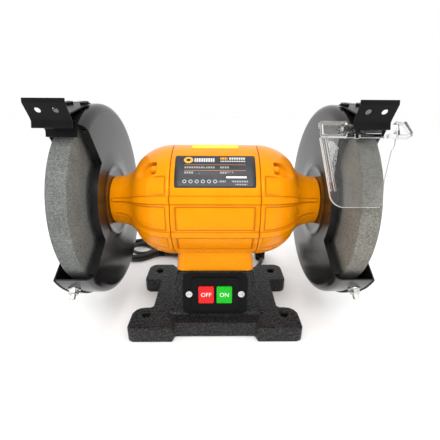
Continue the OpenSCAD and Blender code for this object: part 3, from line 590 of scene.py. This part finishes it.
def settleCord(line):
    # Evens out the bends, then pushes strands apart until they lie beside each other
    thick = cord["thick"]
    fromEnd = np.minimum(np.arange(len(line)), np.arange(len(line))[::-1])
    ends = np.clip(fromEnd / settle["endPoints"], 0, 1)[:, None]
    once = softened(line, settle["even"])
    rest = line + (2 * once - softened(once, settle["even"]) - line) * ends
    shift = np.zeros_like(line)
    i, j = np.triu_indices(len(line), settle["skip"])
    near = np.linalg.norm(rest[i] - rest[j], axis=1) < settle["near"] * thick
    i, j = i[near], j[near]
    edge = cord["tieHalf"] - thick / 2
    for count in range(settle["rounds"]):
        now = rest + shift
        gap = now[j] - now[i]
        length = np.maximum(np.linalg.norm(gap, axis=1, keepdims=True), 1e-6)
        push = gap / length * settle["push"] * np.minimum(length - thick * settle["apart"], 0)
        np.add.at(now, i, push)
        np.add.at(now, j, -push)
        tied = np.abs(now[:, 0] - strap["centre"][0]) < settle["tiedReach"]
        now[tied, 1] = np.clip(now[tied, 1], cord["tie"][1] - edge, cord["tie"][1] + edge)
        now[tied, 2] = np.clip(now[tied, 2], *settle["tiedHeight"])
        now[:, 2] = np.maximum(now[:, 2], thick / 2 + settle["clear"])
        shift = now - rest
        if count < settle["rounds"] - settle["lastRounds"]:
            shift = softened(shift, settle["soft"])
        shift *= ends
    return rest + shift

cordRoute = smoothLine(list(cord["tail"]) + hankRoute() + list(cord["lead"]), 5)
cordLine = settleCord(evenLine(cordRoute, settle["step"]))
cordData = bpy.data.curves.new("mainsCord", "CURVE")
cordData.dimensions = "3D"
cordData.bevel_depth = cord["thick"] / 2 * mm
cordData.bevel_resolution = 3
cordData.use_fill_caps = True
spline = cordData.splines.new("POLY")
spline.points.add(len(cordLine) - 1)
for point, place in zip(spline.points, cordLine):
    point.co = (*(place * mm), 1)
cordData.materials.append(finish["cordSheath"])
mainsCord = newObject("mainsCord", cordData)
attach(mainsCord, "machine")
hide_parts("cord_tail", "cord_hank", "cord_lead")
cordLength = float(np.linalg.norm(np.diff(cordLine, axis=0), axis=1).sum())
print("cord length in mm:", round(cordLength))

# Gland with a ribbed sleeve on the back wall

gland = {"place": (-22, 0, 40), "ribs": 5, "start": 63, "end": 88, "tip": 3, "radius": 7.4, "taper": 2.6,
    "groove": 1.1, "ribParts": (0.55, 0.7, 0.95), "flange": ((0, 44), (8, 44), (8, 48), (5.9, 48),
        (5.9, 57.5), (9.2, 57.5), (9.5, 57.9), (9.5, 61.4), (9.0, 62), (7.6, 62))}
glandBm = bmesh.new()
sleeve = list(gland["flange"])
ribPitch = (gland["end"] - gland["tip"] - gland["start"]) / gland["ribs"]
for rib in range(gland["ribs"]):
    y = gland["start"] + rib * ribPitch
    radius = gland["radius"] - gland["taper"] * rib / gland["ribs"]
    topEnd, grooveStart, grooveEnd = (y + ribPitch * part for part in gland["ribParts"])
    sleeve += [(radius, y), (radius, topEnd), (radius - gland["groove"], grooveStart),
        (radius - gland["groove"], grooveEnd)]
sleeve += [(4.6, gland["end"] - 2.6), (4.5, gland["end"] - 0.5), (4.1, gland["end"]), (3.05, gland["end"]),
    (3.05, 80), (0, 80)]
turnedAbout(glandBm, gland["place"], (0, 1, 0), sleeve, 40)
addPiece("cordGland", closeUp(glandBm), "blackPlastic", ("cord_gland",), 40)

# Plug with a soft body, finger ribs, a ribbed tail and two flat blades

plug = {"place": (79, 128, 12), "body": (16, 26, 24), "corner": 3.2, "ribs": 4, "rib": (1.4, 14, 1.6),
    "ribX": 7.3, "ribLow": 4.5, "ribPitch": 4.8, "ribCorner": 0.6, "tail": (79, 106, 9.5), "tailRibs": 3,
    "tailGrow": 0.8, "tailPitch": 3.4, "bladeThick": 1.6, "bladeY": 6.3, "hole": (-20.5, 3.15),
    "holeRadius": 1.5, "holeSteps": 16,
    "blade": ((-7, 0), (-7, 6.3), (-22.4, 6.3), (-24, 4.9), (-24, 1.4), (-22.4, 0))}
plugX, plugY, plugZ = plug["place"]
plugBm = bmesh.new()
rounded(plugBm, addBox(plugBm, plug["body"], (plugX, plugY + 1, plugZ)), plug["corner"], 5)
for rib in range(plug["ribs"]):
    ribPlace = (plugX + plug["ribX"], plugY + 1, plug["ribLow"] + plug["ribPitch"] * rib)
    rounded(plugBm, addBox(plugBm, plug["rib"], ribPlace), plug["ribCorner"], 2)
tailProfile = [(0, 0), (3.9, 0), (4.2, 0.6)]
for rib in range(plug["tailRibs"]):
    grow, along = rib * plug["tailGrow"], rib * plug["tailPitch"]
    tailProfile += [(4.4 + grow, 1 + along), (4.6 + grow, 2.9 + along), (3.9 + grow, 3.2 + along),
        (3.9 + grow, 4.2 + along)]
tailProfile += [(6.9, 11.5), (7, 13), (0, 13)]
turnedAbout(plugBm, plug["tail"], (0, 1, 0), tailProfile, 36)
mainsPlug = addPiece("mainsPlug", closeUp(plugBm), "blackPlastic", ("mains_plug",), 35)
bladeBm = bmesh.new()
holeX, holeZ = plug["hole"]
holeTurns = [tau * k / plug["holeSteps"] for k in range(plug["holeSteps"])]
holeRing = [(holeX + plug["holeRadius"] * cos(turn), holeZ + plug["holeRadius"] * sin(turn))
    for turn in holeTurns]
for side in (-1, 1):
    y = plugY + side * plug["bladeY"] - plug["bladeThick"] / 2
    rims = []
    for ring in (plug["blade"], holeRing):
        rims += ringEdges(bladeBm, [bladeBm.verts.new((plugX + x, y, plugZ + z)) for x, z in ring])
    filled = bmesh.ops.triangle_fill(bladeBm, edges=rims, use_beauty=True)
    grown = bmesh.ops.extrude_face_region(bladeBm, geom=onlyOf(bmesh.types.BMFace, filled))
    bmesh.ops.translate(bladeBm, vec=(0, plug["bladeThick"], 0), verts=onlyOf(bmesh.types.BMVert, grown))
blades = addPiece("plugBlades", closeUp(bladeBm), "zincSteel", (), 30)

# Tie around the hank: a plain strap

tieBm = bmesh.new()
strapX, strapY = strap["centre"]
corner = strap["corner"]
rim = []
for sideY, sideZ, start in ((1, 1, 0), (-1, 1, 90), (-1, -1, 180), (1, -1, 270)):
    rim += arc(sideY * (strap["half"][0] - corner), strap["height"] + sideZ * (strap["half"][1] - corner),
        corner, start, start + 90, 6)
loops = []
for side in (-1, 1):
    x = strapX + side * strap["width"] / 2
    loops += ringEdges(tieBm, [tieBm.verts.new((x, strapY + y, z)) for y, z in rim])
bmesh.ops.bridge_loops(tieBm, edges=loops)
bmesh.ops.recalc_face_normals(tieBm, faces=tieBm.faces)
cordTie = addPiece("cordTie", tieBm, "blackPlastic", ("cord_tie",), 40)
addWall(cordTie, "wall", strap["thick"])
print("cord, gland, plug and tie ready")

# Motor housing, with bands and panels pressed into its front and back

motor = {"radius": 66, "seam": 47, "bore": 57.5, "bands": ((14, 21.5), (-19.5, -12.5)), "bandRise": 1.6,
    "panels": ((-11.5, 11.5), (-39.5, -21)), "panelSide": (40.8, 41.8), "panelLine": 41.2, "panelDepth": 1.1,
    "seamRadius": 65.1, "seamBevel": 46.2, "seamShade": 65.6, "skin": 64, "steps": 480,
    "rings": (42, 41.3, 40.6, 39)}

def frontAngle(angle):
    # The back repeats the front
    if abs(angle) > 90:
        return copysign(180, angle) - angle
    return angle

halfProfile = [(motor["bore"], motor["seam"]), (motor["seamRadius"], motor["seam"]),
    (motor["radius"], motor["seamBevel"])] + [(motor["radius"], x) for x in motor["rings"]]
housingProfile = [(r, -x) for r, x in halfProfile] + [(motor["radius"], 0)] + halfProfile[::-1]
housingBm = turned(housingProfile, motor["steps"], closed=True)
housingPaintedShade = {}
bandEdges = [edge for pair in motor["bands"] for edge in pair]
panelEdges = [edge for pair in motor["panels"] for edge in pair]
for vert in housingBm.verts:
    radius, angle = polar(vert.co)
    if radius < motor["skin"]:
        continue
    front = frontAngle(angle)
    bands = sum(between(front, low, high) for low, high in motor["bands"])
    sides = 1 - ease(abs(vert.co.x), *motor["panelSide"])
    panels = sum(between(front, low, high) for low, high in motor["panels"])
    # Painted shade: darkens the paint in the seam groove, along the band and panel edges and at the panels'
    # ends
    seam = 1.0 * (radius < motor["seamShade"])
    housingPaintedShade[vert] = max(seam, 0.8 * nearEdge(front, bandEdges),
        nearEdge(front, panelEdges) * (sides > 0.3),
        nearEdge(abs(vert.co.x), (motor["panelLine"],), 1.2) * panels)
    pressed = motor["bandRise"] * bands - motor["panelDepth"] * panels * sides
    vert.co = onAxis(radius + pressed, angle, vert.co.x)
addPiece("motorHousing", housingBm, "yellowPaint", ("motor_housing",), 50, housingPaintedShade)

pedestal = {"half": 47, "low": 73, "front": -35, "back": 45, "inner": 62, "corner": 7.5, "taper": 0.064,
    "taperFrom": 76, "taperOver": 23, "step": -8, "upright": 20}
pedestalBm = bmesh.new()
rim = [(pedestal["front"], pedestal["low"]), (pedestal["back"], pedestal["low"])]
rim += [(y, axisZ - sqrt(pedestal["inner"] ** 2 - (y - axisY) ** 2))
    for y in range(pedestal["back"], pedestal["front"] - 1, pedestal["step"])]
face = pedestalBm.faces.new([pedestalBm.verts.new((-pedestal["half"], y, z)) for y, z in rim])
grown = bmesh.ops.extrude_face_region(pedestalBm, geom=[face])
bmesh.ops.translate(pedestalBm, vec=(2 * pedestal["half"], 0, 0), verts=onlyOf(bmesh.types.BMVert, grown))
for vert in pedestalBm.verts:
    if vert.co.z > pedestal["taperFrom"]:
        above = vert.co.z - pedestal["taperFrom"]
        vert.co.x *= 1 - pedestal["taper"] * above / pedestal["taperOver"]
bmesh.ops.recalc_face_normals(pedestalBm, faces=pedestalBm.faces)
corners = [e for e in pedestalBm.edges if abs(e.verts[0].co.z - e.verts[1].co.z) > pedestal["upright"]]
rounded(pedestalBm, corners, pedestal["corner"], 5)
addPiece("motorPedestal", pedestalBm, "yellowPaint", (), 35)

# End bells: turned castings with bands, a let-in panel and screw pockets

# A bell's panel is its edges in degrees, where it fades out, where its shade does, and the shade
bell = {"neck": 28.5, "depth": 48, "screwRadius": 59.8, "screwAngles": (50, -50, 130, -130),
    "pocketFloor": 62, "pocketRadius": 8.2, "wall": 4.5, "run": ((47.5, 49), (117, 118.5)),
    "bandFade": (112, 119), "start": (51.2, 52.6), "startLine": 51.9, "seamShade": 47.6,
    "panels": (((-11.5, 11.5), (92, 108), (84, 100), 0.9), ((23, 40), (60, 72), (58, 70), 0.8),
        ((-38, -21), (66, 90), (62, 84), 0.9)),
    "throat": ((42.6, 91.5), (38.2, 94.8), (34.7, 98.8), (31.9, 103.6), (30.1, 109), (29.1, 114.5),
        (28.6, 118), (28.5, 120.3)),
    "bore": ((27.8, 121), (20, 121)), "bearingSeat": ((20, 101.5), (12, 101.5), (12, 96), (24, 94)),
    "bolt": ((0, 0), (4.0, 0), (4.0, 4.6), (3.4, 5.9), (2.2, 6.7), (0, 7))}

def bellProfile():
    reach = motor["radius"] - bell["neck"]
    outside = [(motor["seamRadius"], motor["seam"]), (motor["radius"], 47.9)]
    for k in range(2, 49):
        t = radians(k * 1.25)
        outside.append((bell["neck"] + reach * cos(t), motor["seam"] + bell["depth"] * sin(t)))
    throat = smoothLine([(r, x, 0) for r, x in outside[-2:] + list(bell["throat"])], 4)
    outside = outside[:-2] + [(p.x, p.y) for p in throat] + list(bell["bore"])
    inside = list(bell["bearingSeat"])
    for turn in range(70, -1, -10):
        t = radians(turn)
        inside.append((bell["neck"] + (reach - bell["wall"]) * cos(t),
            motor["seam"] + (bell["depth"] - bell["wall"]) * sin(t)))
    return outside + inside

def shapeBell(bm):
    # Presses the bands and panels, then the screw pockets, and returns where shade gathers
    bm.normal_update()
    moves, relief = {}, {}
    for vert in bm.verts:
        radius, angle = polar(vert.co)
        x = vert.co.x
        if (vert.normal.x < 0.02 and x > 48.5) or radius < 28 or radius + x < 108:
            continue
        front = frontAngle(angle)
        run = ease(x, *bell["run"][0]) * (1 - ease(x, *bell["run"][1]))
        bands = sum(between(front, low, high) for low, high in motor["bands"])
        start = ease(x, *bell["start"])
        # Painted shade mask: the seam, the panel and band edges and the panels' start line are darkened in
        # the paint
        panels, shades = 0.0, [1.0 * (x < bell["seamShade"])]
        for edges, fade, shadeFade, shade in bell["panels"]:
            panels += between(front, *edges) * (1 - ease(x, *fade))
            shades.append(shade * nearEdge(front, edges) * start * (1 - ease(x, *shadeFade)))
        bandShade = 0.8 * nearEdge(front, bandEdges, 0.95 * motor["radius"] / radius) * run
        shades.append(bandShade * (1 - ease(x, *bell["bandFade"])))
        shades.append(0.9 * nearEdge(x, (bell["startLine"],), 1.3) * panels)
        moves[vert] = vert.normal * (motor["bandRise"] * bands * run - motor["panelDepth"] * panels * start)
        relief[vert] = max(shades)
    for vert, move in moves.items():
        vert.co += move
    for vert in moves:
        radius, angle = polar(vert.co)
        for place in bell["screwAngles"]:
            turn = radians(angle - place)
            away = hypot(radius * cos(turn) - bell["screwRadius"] - 0.5, radius * sin(turn))
            sink = 1 - ease(away, bell["pocketRadius"] - 0.9, bell["pocketRadius"] + 0.5)
            if sink > 0 and vert.co.x > bell["pocketFloor"]:
                vert.co.x += (bell["pocketFloor"] - vert.co.x) * sink
                # The inside of each screw pocket is darkened as painted shade
                relief[vert] = max(relief[vert], 0.9 * sink)
    return relief

for side in ("left", "right"):
    bellBm = turned(bellProfile(), motor["steps"], closed=True)
    relief = shapeBell(bellBm)
    bolts = bmesh.new()
    for angle in bell["screwAngles"]:
        foot = onAxis(bell["screwRadius"], angle, bell["pocketFloor"] - 0.2)
        turnedAbout(bolts, foot, (1, 0, 0), bell["bolt"], 24)
    addPiece(side + "EndBell", sided(bellBm, side), "yellowPaint", (side + "_end_bell",), 50,
        relief)
    addPiece(side + "BellBolts", sided(closeUp(bolts), side), "yellowPaint",
        (side + "_bell_screws",), 45)
print("motor ready")

# Base: the casting's edges are rounded all over by a fine remesh

base = {"voxel": 1.5, "smoothing": 0.5, "rounds": 5}
baseCasting = addPiece("baseCasting", nodeMesh("base_casting"), "hammeredBlack",
    ("base_casting",), 180)
remesh = baseCasting.modifiers.new("cast skin", "REMESH")
remesh.mode = "VOXEL"
remesh.voxel_size = base["voxel"] * mm
remesh.use_smooth_shade = True
smooth = baseCasting.modifiers.new("soft edges", "SMOOTH")
smooth.factor = base["smoothing"]
smooth.iterations = base["rounds"]
print("base ready")

# Wheels

wheel = {"bore": 8, "radius": 100, "inner": 134, "width": 20, "chamfer": 1.0, "steps": 300,
    "rings": (30, 60, 80), "finish": {"left": "abrasive", "right": "abrasiveWarm"}}
for side in ("left", "right"):
    near, far, edge, c = wheel["inner"], wheel["inner"] + wheel["width"], wheel["radius"], wheel["chamfer"]
    profile = [(wheel["bore"], near)] + [(radius, near) for radius in wheel["rings"]]
    profile += [(edge - c, near), (edge - 0.25 * c, near + 0.3 * c), (edge, near + c), (edge, near + 10),
        (edge, far - c), (edge - 0.25 * c, far - 0.3 * c), (edge - c, far), (60, far), (wheel["bore"], far)]
    wheelBm = sided(turned(profile, wheel["steps"], closed=True), side)
    addPiece(side + "Wheel", wheelBm, wheel["finish"][side], (side + "_wheel",), 30, body="rotor")
print("wheels ready")

# Guards: drawn drum with a flanged opening, and a pressed cover

guard = {"wall": 121, "radius": 110.5, "corner": 9, "open": 61, "top": 58, "low": -29, "sheet": 1.5,
    "lip": 8, "lipStart": 1.0, "portAngle": -128, "portX": 145, "portHole": 12.8, "steps": 360,
    "rings": (131.5, 134, 136, 138, 140, 142, 144, 146, 148, 150, 152, 154, 156, 158.5, 160.4, 161),
    "neck": ((21, 121), (30, 121), (36, 121), (37.6, 120.5), (38.8, 119.9), (41, 119.6), (43.2, 119.9),
        (44.4, 120.5), (46, 121)),
    "upperLip": ((-54.4, 243.4), (-55.0, 238), (-56.6, 231.9)), "upperLipX": (129, 158.5),
    "outlet": ((12, 106), (13.5, 106), (13.5, 109.6), (15.6, 110.2), (15.9, 111.4), (14.2, 112.4),
        (13.5, 113.2), (13.5, 119.6), (13.1, 120.5), (12.4, 120.5), (12, 119.8), (12, 106))}
guardCover = {"rim": 111, "rimX": 161, "notches": ((57, 87), (-46, -28)), "portNotch": 16.5,
    "profile": ((112.3, 147), (112.3, 148), (112.3, 153), (112.3, 159.8), (111.8, 161.4), (110.2, 162.5),
        (100, 162.5), (80, 162.5), (61, 162.5), (57.5, 162.5), (55.6, 162.9), (54.2, 164.2), (51.2, 171.2),
        (49.6, 172.8), (47, 173.5), (38, 173.5), (36, 172.9), (20, 172.9), (0, 172.9))}

def opened(bm, test):
    middles = [(face, face.calc_center_median()) for face in bm.faces]
    gone = [face for face, middle in middles if test(*polar(middle), middle.x)]
    bmesh.ops.delete(bm, geom=gone, context="FACES")

def inOpening(radius, angle):
    return radius > guard["open"] and guard["low"] < angle < guard["top"]

def awayFromPort(radius, angle, x):
    return hypot(radius * radians(angle - guard["portAngle"]), x - guard["portX"])

def outsideGuard(radius, angle, x):
    # The opening at the wheel's front, and the hole for the outlet
    besideRim = x > guard["rings"][0] and guard["low"] < angle < guard["top"] + 3
    inPort = radius > 100 and awayFromPort(radius, angle, x) < guard["portHole"]
    return inOpening(radius, angle) or besideRim or inPort

def outsideCover(radius, angle, x):
    # The same opening, and the notches in the cover's rim
    notched = any(low < angle < high for low, high in guardCover["notches"])
    notched = notched or awayFromPort(radius, angle, x) < guardCover["portNotch"]
    return inOpening(radius, angle) or (radius > guardCover["rim"] and x < guardCover["rimX"] and notched)

def guardShell():
    corner = [(guard["radius"] - guard["corner"] + p, guard["wall"] + guard["corner"] + q)
        for p, q in arc(0, 0, guard["corner"], -90, 0, 9)]
    profile = list(guard["neck"]) + [(radius, guard["wall"]) for radius in (guard["open"], 70, 85)]
    profile += corner + [(guard["radius"], x) for x in guard["rings"]]
    bm = turned(profile, guard["steps"])
    opened(bm, outsideGuard)

    def fromWall(face):
        middle = face.calc_center_median()
        return abs(middle.x - guard["wall"]) + abs(polar(middle)[0] - 75)

    if min(bm.faces, key=fromWall).normal.x > 0:
        bmesh.ops.reverse_faces(bm, faces=bm.faces)
    lip = [e for e in bm.edges if e.is_boundary
        and all(abs(v.co.x - guard["wall"]) < 0.3 and polar(v.co)[0] > 60 for v in e.verts)]
    for run in (guard["lipStart"], guard["lip"] - guard["lipStart"]):
        grown = bmesh.ops.extrude_edge_only(bm, edges=lip)
        bmesh.ops.translate(bm, vec=(run, 0, 0), verts=onlyOf(bmesh.types.BMVert, grown))
        lip = onlyOf(bmesh.types.BMEdge, grown)
    return bm

def coverShell():
    bm = turned(guardCover["profile"], guard["steps"])
    opened(bm, outsideCover)
    outer = max(bm.faces, key=lambda face: face.calc_center_median().x)
    if outer.normal.x < 0:
        bmesh.ops.reverse_faces(bm, faces=bm.faces)
    return bm

def sheetMetal(piece, offset=-1):
    addWall(piece, "sheet", guard["sheet"], offset).use_quality_normals = True
    addRounding(piece, "rolled edges", 0.45, 50)

# The face and leg are lines of front-to-back and height, and the rest is along the machine
arrester = {"ends": {"left": (124, 159.5), "right": (121.5, 154.5)}, "leg": (131, 152),
    "holes": {"left": (134.5, 149.5), "right": (131, 145)}, "holeRadius": 2.6, "holeSteps": 20,
    "hooks": {"left": (), "right": (127, 150)}, "hookRadius": 5.8, "hookWidth": 2.5, "pivot": (-66, 241),
    "face": ((-80.6, 266.3), (-81.4, 262.6), (-74.7, 250.8), (-73.6, 247.4), (-75.6, 241.8)),
    "legLine": ((-74.1, 250.8), (-71, 251.4), (-12.4, 260.6), (-9.2, 261.1))}

def bentSheet(bm, line, low, high, holes=()):
    # A strip bent along the line, with any holes in its second panel
    rows = [[bm.verts.new((x, *point)) for x in (low, high)] for point in line]
    for number, (upper, lower) in enumerate(zip(rows, rows[1:])):
        corners = (*upper, *reversed(lower))
        if not holes or number != 1:
            bm.faces.new(corners)
            continue
        edges = [bm.edges.get(pair) or bm.edges.new(pair) for pair in zip(corners, corners[1:] + corners[:1])]
        start, end = Vector(line[number]), Vector(line[number + 1])
        along = (end - start).normalized()
        middle = (start + end) / 2
        for x in holes:
            ring = []
            for k in range(arrester["holeSteps"]):
                turn = tau * k / arrester["holeSteps"]
                place = middle + along * arrester["holeRadius"] * sin(turn)
                ring.append(bm.verts.new((x + arrester["holeRadius"] * cos(turn), *place)))
            edges += ringEdges(bm, ring)
        bmesh.ops.triangle_fill(bm, edges=edges, use_beauty=True)

def arresterPlate(side):
    bm = bmesh.new()
    bentSheet(bm, arrester["face"], *arrester["ends"][side], holes=arrester["holes"][side])
    bentSheet(bm, arrester["legLine"], *arrester["leg"])
    for x in arrester["hooks"][side]:
        hook = arc(*arrester["pivot"], arrester["hookRadius"], 150, 345, 16)
        bentSheet(bm, hook, x, x + arrester["hookWidth"])
    bmesh.ops.recalc_face_normals(bm, faces=bm.faces)
    return sided(bm, side)

for side in ("left", "right"):
    shell, cover, outlet, lip = guardShell(), coverShell(), bmesh.new(), bmesh.new()
    # The lip closes the gap between the drum's upper edge and the wheel
    bentSheet(lip, guard["upperLip"], *guard["upperLipX"])
    outletAxis = onAxis(1, guard["portAngle"], 0) - onAxis(0, 0, 0)
    turnedAbout(outlet, onAxis(0, 0, guard["portX"]), outletAxis, guard["outlet"], 48)
    closeUp(outlet)
    for name, bm, paint, stands in (("Guard", shell, "guardPaint", (side + "_guard",)),
            ("GuardCover", cover, "guardPaint", (side + "_guard_cover",)),
            ("GuardLip", lip, "arresterPaint", ())):
        sheetMetal(addPiece(side + name, sided(bm, side), paint, stands, 40))
    addPiece(side + "DustOutlet", sided(outlet, side), "guardPaint", (), 40)
    sheetMetal(addPiece(side + "SparkArrester", arresterPlate(side), "arresterPaint",
        (side + "_spark_arrester",), 40, body=side + "_arrester"), 0)
    softenedCopy(side + "_rest_bolt", side + "RestBolt", 0.3)
print("guards ready")

# Eye shield, switch and labels

rimFaces = {"sheetWay": (0, -0.853, 0.522), "across": 0.4, "fromBar": 5}
shield = softenedCopy("eye_shield", "eyeShield", 0.35)
shield.data.materials.append(finish["clearEdge"])
sheetWay = Vector(rimFaces["sheetWay"])
barY, barZ = arrester["pivot"]
for polygon in shield.data.polygons:
    fromBar = hypot(polygon.center.y / mm - barY, polygon.center.z / mm - barZ)
    if abs(polygon.normal.dot(sheetWay)) < rimFaces["across"] and fromBar > rimFaces["fromBar"]:
        polygon.material_index = 1
softenedCopy("switch_plate", "switchPlate", 0.6)
softenedCopy("off_button", "offButton", 0.7)
softenedCopy("on_button", "onButton", 0.7)

keys = {"words": {"OFF": ("off_key", -10.9), "ON": ("on_key", 10.9)}, "size": 7.2, "thick": 0.12,
    "height": 7.06, "foot": (0, -43, 46.5), "slope": (53, 12)}
slope = Matrix.Translation(keys["foot"]) @ Matrix.Rotation(atan2(*keys["slope"]), 4, "X")
for word, (body, x) in keys["words"].items():
    fontData = bpy.data.curves.new("word" + word, "FONT")
    fontData.body = word
    fontData.size = keys["size"] * mm
    fontData.extrude = keys["thick"] * mm
    fontData.align_x, fontData.align_y = "CENTER", "CENTER"
    fontData.resolution_u = 3
    fontObject = newObject("word" + word, fontData)
    solid = fontObject.evaluated_get(bpy.context.evaluated_depsgraph_get())
    wordMesh = bpy.data.meshes.new_from_object(solid)
    bpy.data.objects.remove(fontObject)
    onKey = Matrix.Translation((x * mm, 0, keys["height"] * mm))
    wordMesh.transform(Matrix.Translation(slope.translation * mm) @ slope.to_3x3().to_4x4() @ onKey)
    wordMesh.materials.clear()
    wordMesh.materials.append(finish["whiteInk"])
    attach(newObject("word" + word, wordMesh), body)

labels = {
    "ratingPlate": {"node": "rating_plate", "finish": "slateLabel", "half": 42, "low": 29, "high": 63,
        "radius": 66.8, "thick": 0.78},
    "topLabel": {"node": "top_label", "finish": "yellowLabel", "half": 26.5, "low": 78, "high": 96,
        "radius": 66.5, "thick": 0.48}}
labelCorner = {"pull": 0.018, "from": 0.9, "over": 0.1, "side": 0.99}

def curvedLabel(name, label):
    # A thin plate bent over the motor, with its own map of across and up
    bm = bmesh.new()
    bmesh.ops.create_grid(bm, x_segments=20, y_segments=24, size=1)
    layer = bm.loops.layers.uv.new("plate")
    for face in bm.faces:
        for loop in face.loops:
            loop[layer].uv = ((loop.vert.co.x + 1) / 2, (loop.vert.co.y + 1) / 2)
    for vert in bm.verts:
        u, v = vert.co.x, vert.co.y
        past = max(0, abs(v) - labelCorner["from"]) / labelCorner["over"]
        pull = 1 - labelCorner["pull"] * past * (abs(u) > labelCorner["side"])
        angle = label["low"] + (label["high"] - label["low"]) * (v + 1) / 2
        vert.co = onAxis(label["radius"], angle, u * label["half"] * pull)
    bmesh.ops.recalc_face_normals(bm, faces=bm.faces)
    bm.normal_update()
    if bm.faces[0].calc_center_median().z > axisZ and bm.faces[0].normal.z < 0:
        bmesh.ops.reverse_faces(bm, faces=bm.faces)
    piece = addPiece(name, bm, label["finish"], (label["node"],), 40)
    addWall(piece, "plate", label["thick"])

for name, label in labels.items():
    curvedLabel(name, label)
print("shield, switch and labels ready")

# Floor

bpy.ops.mesh.primitive_plane_add(size=studio["floor"]["size"], location=(0, 0, -studio["floor"]["drop"]))
floor = bpy.context.object
floor.name = "floor"
floorMaterial = bpy.data.materials.new("paleFloor")
floorMaterial.use_nodes = True
floorShader = floorMaterial.node_tree.nodes["Principled BSDF"]
floorShader.inputs["Base Color"].default_value = (*studio["floor"]["colour"], 1)
floorShader.inputs["Roughness"].default_value = studio["floor"]["rough"]
floor.data.materials.append(floorMaterial)

print("all pieces ready")
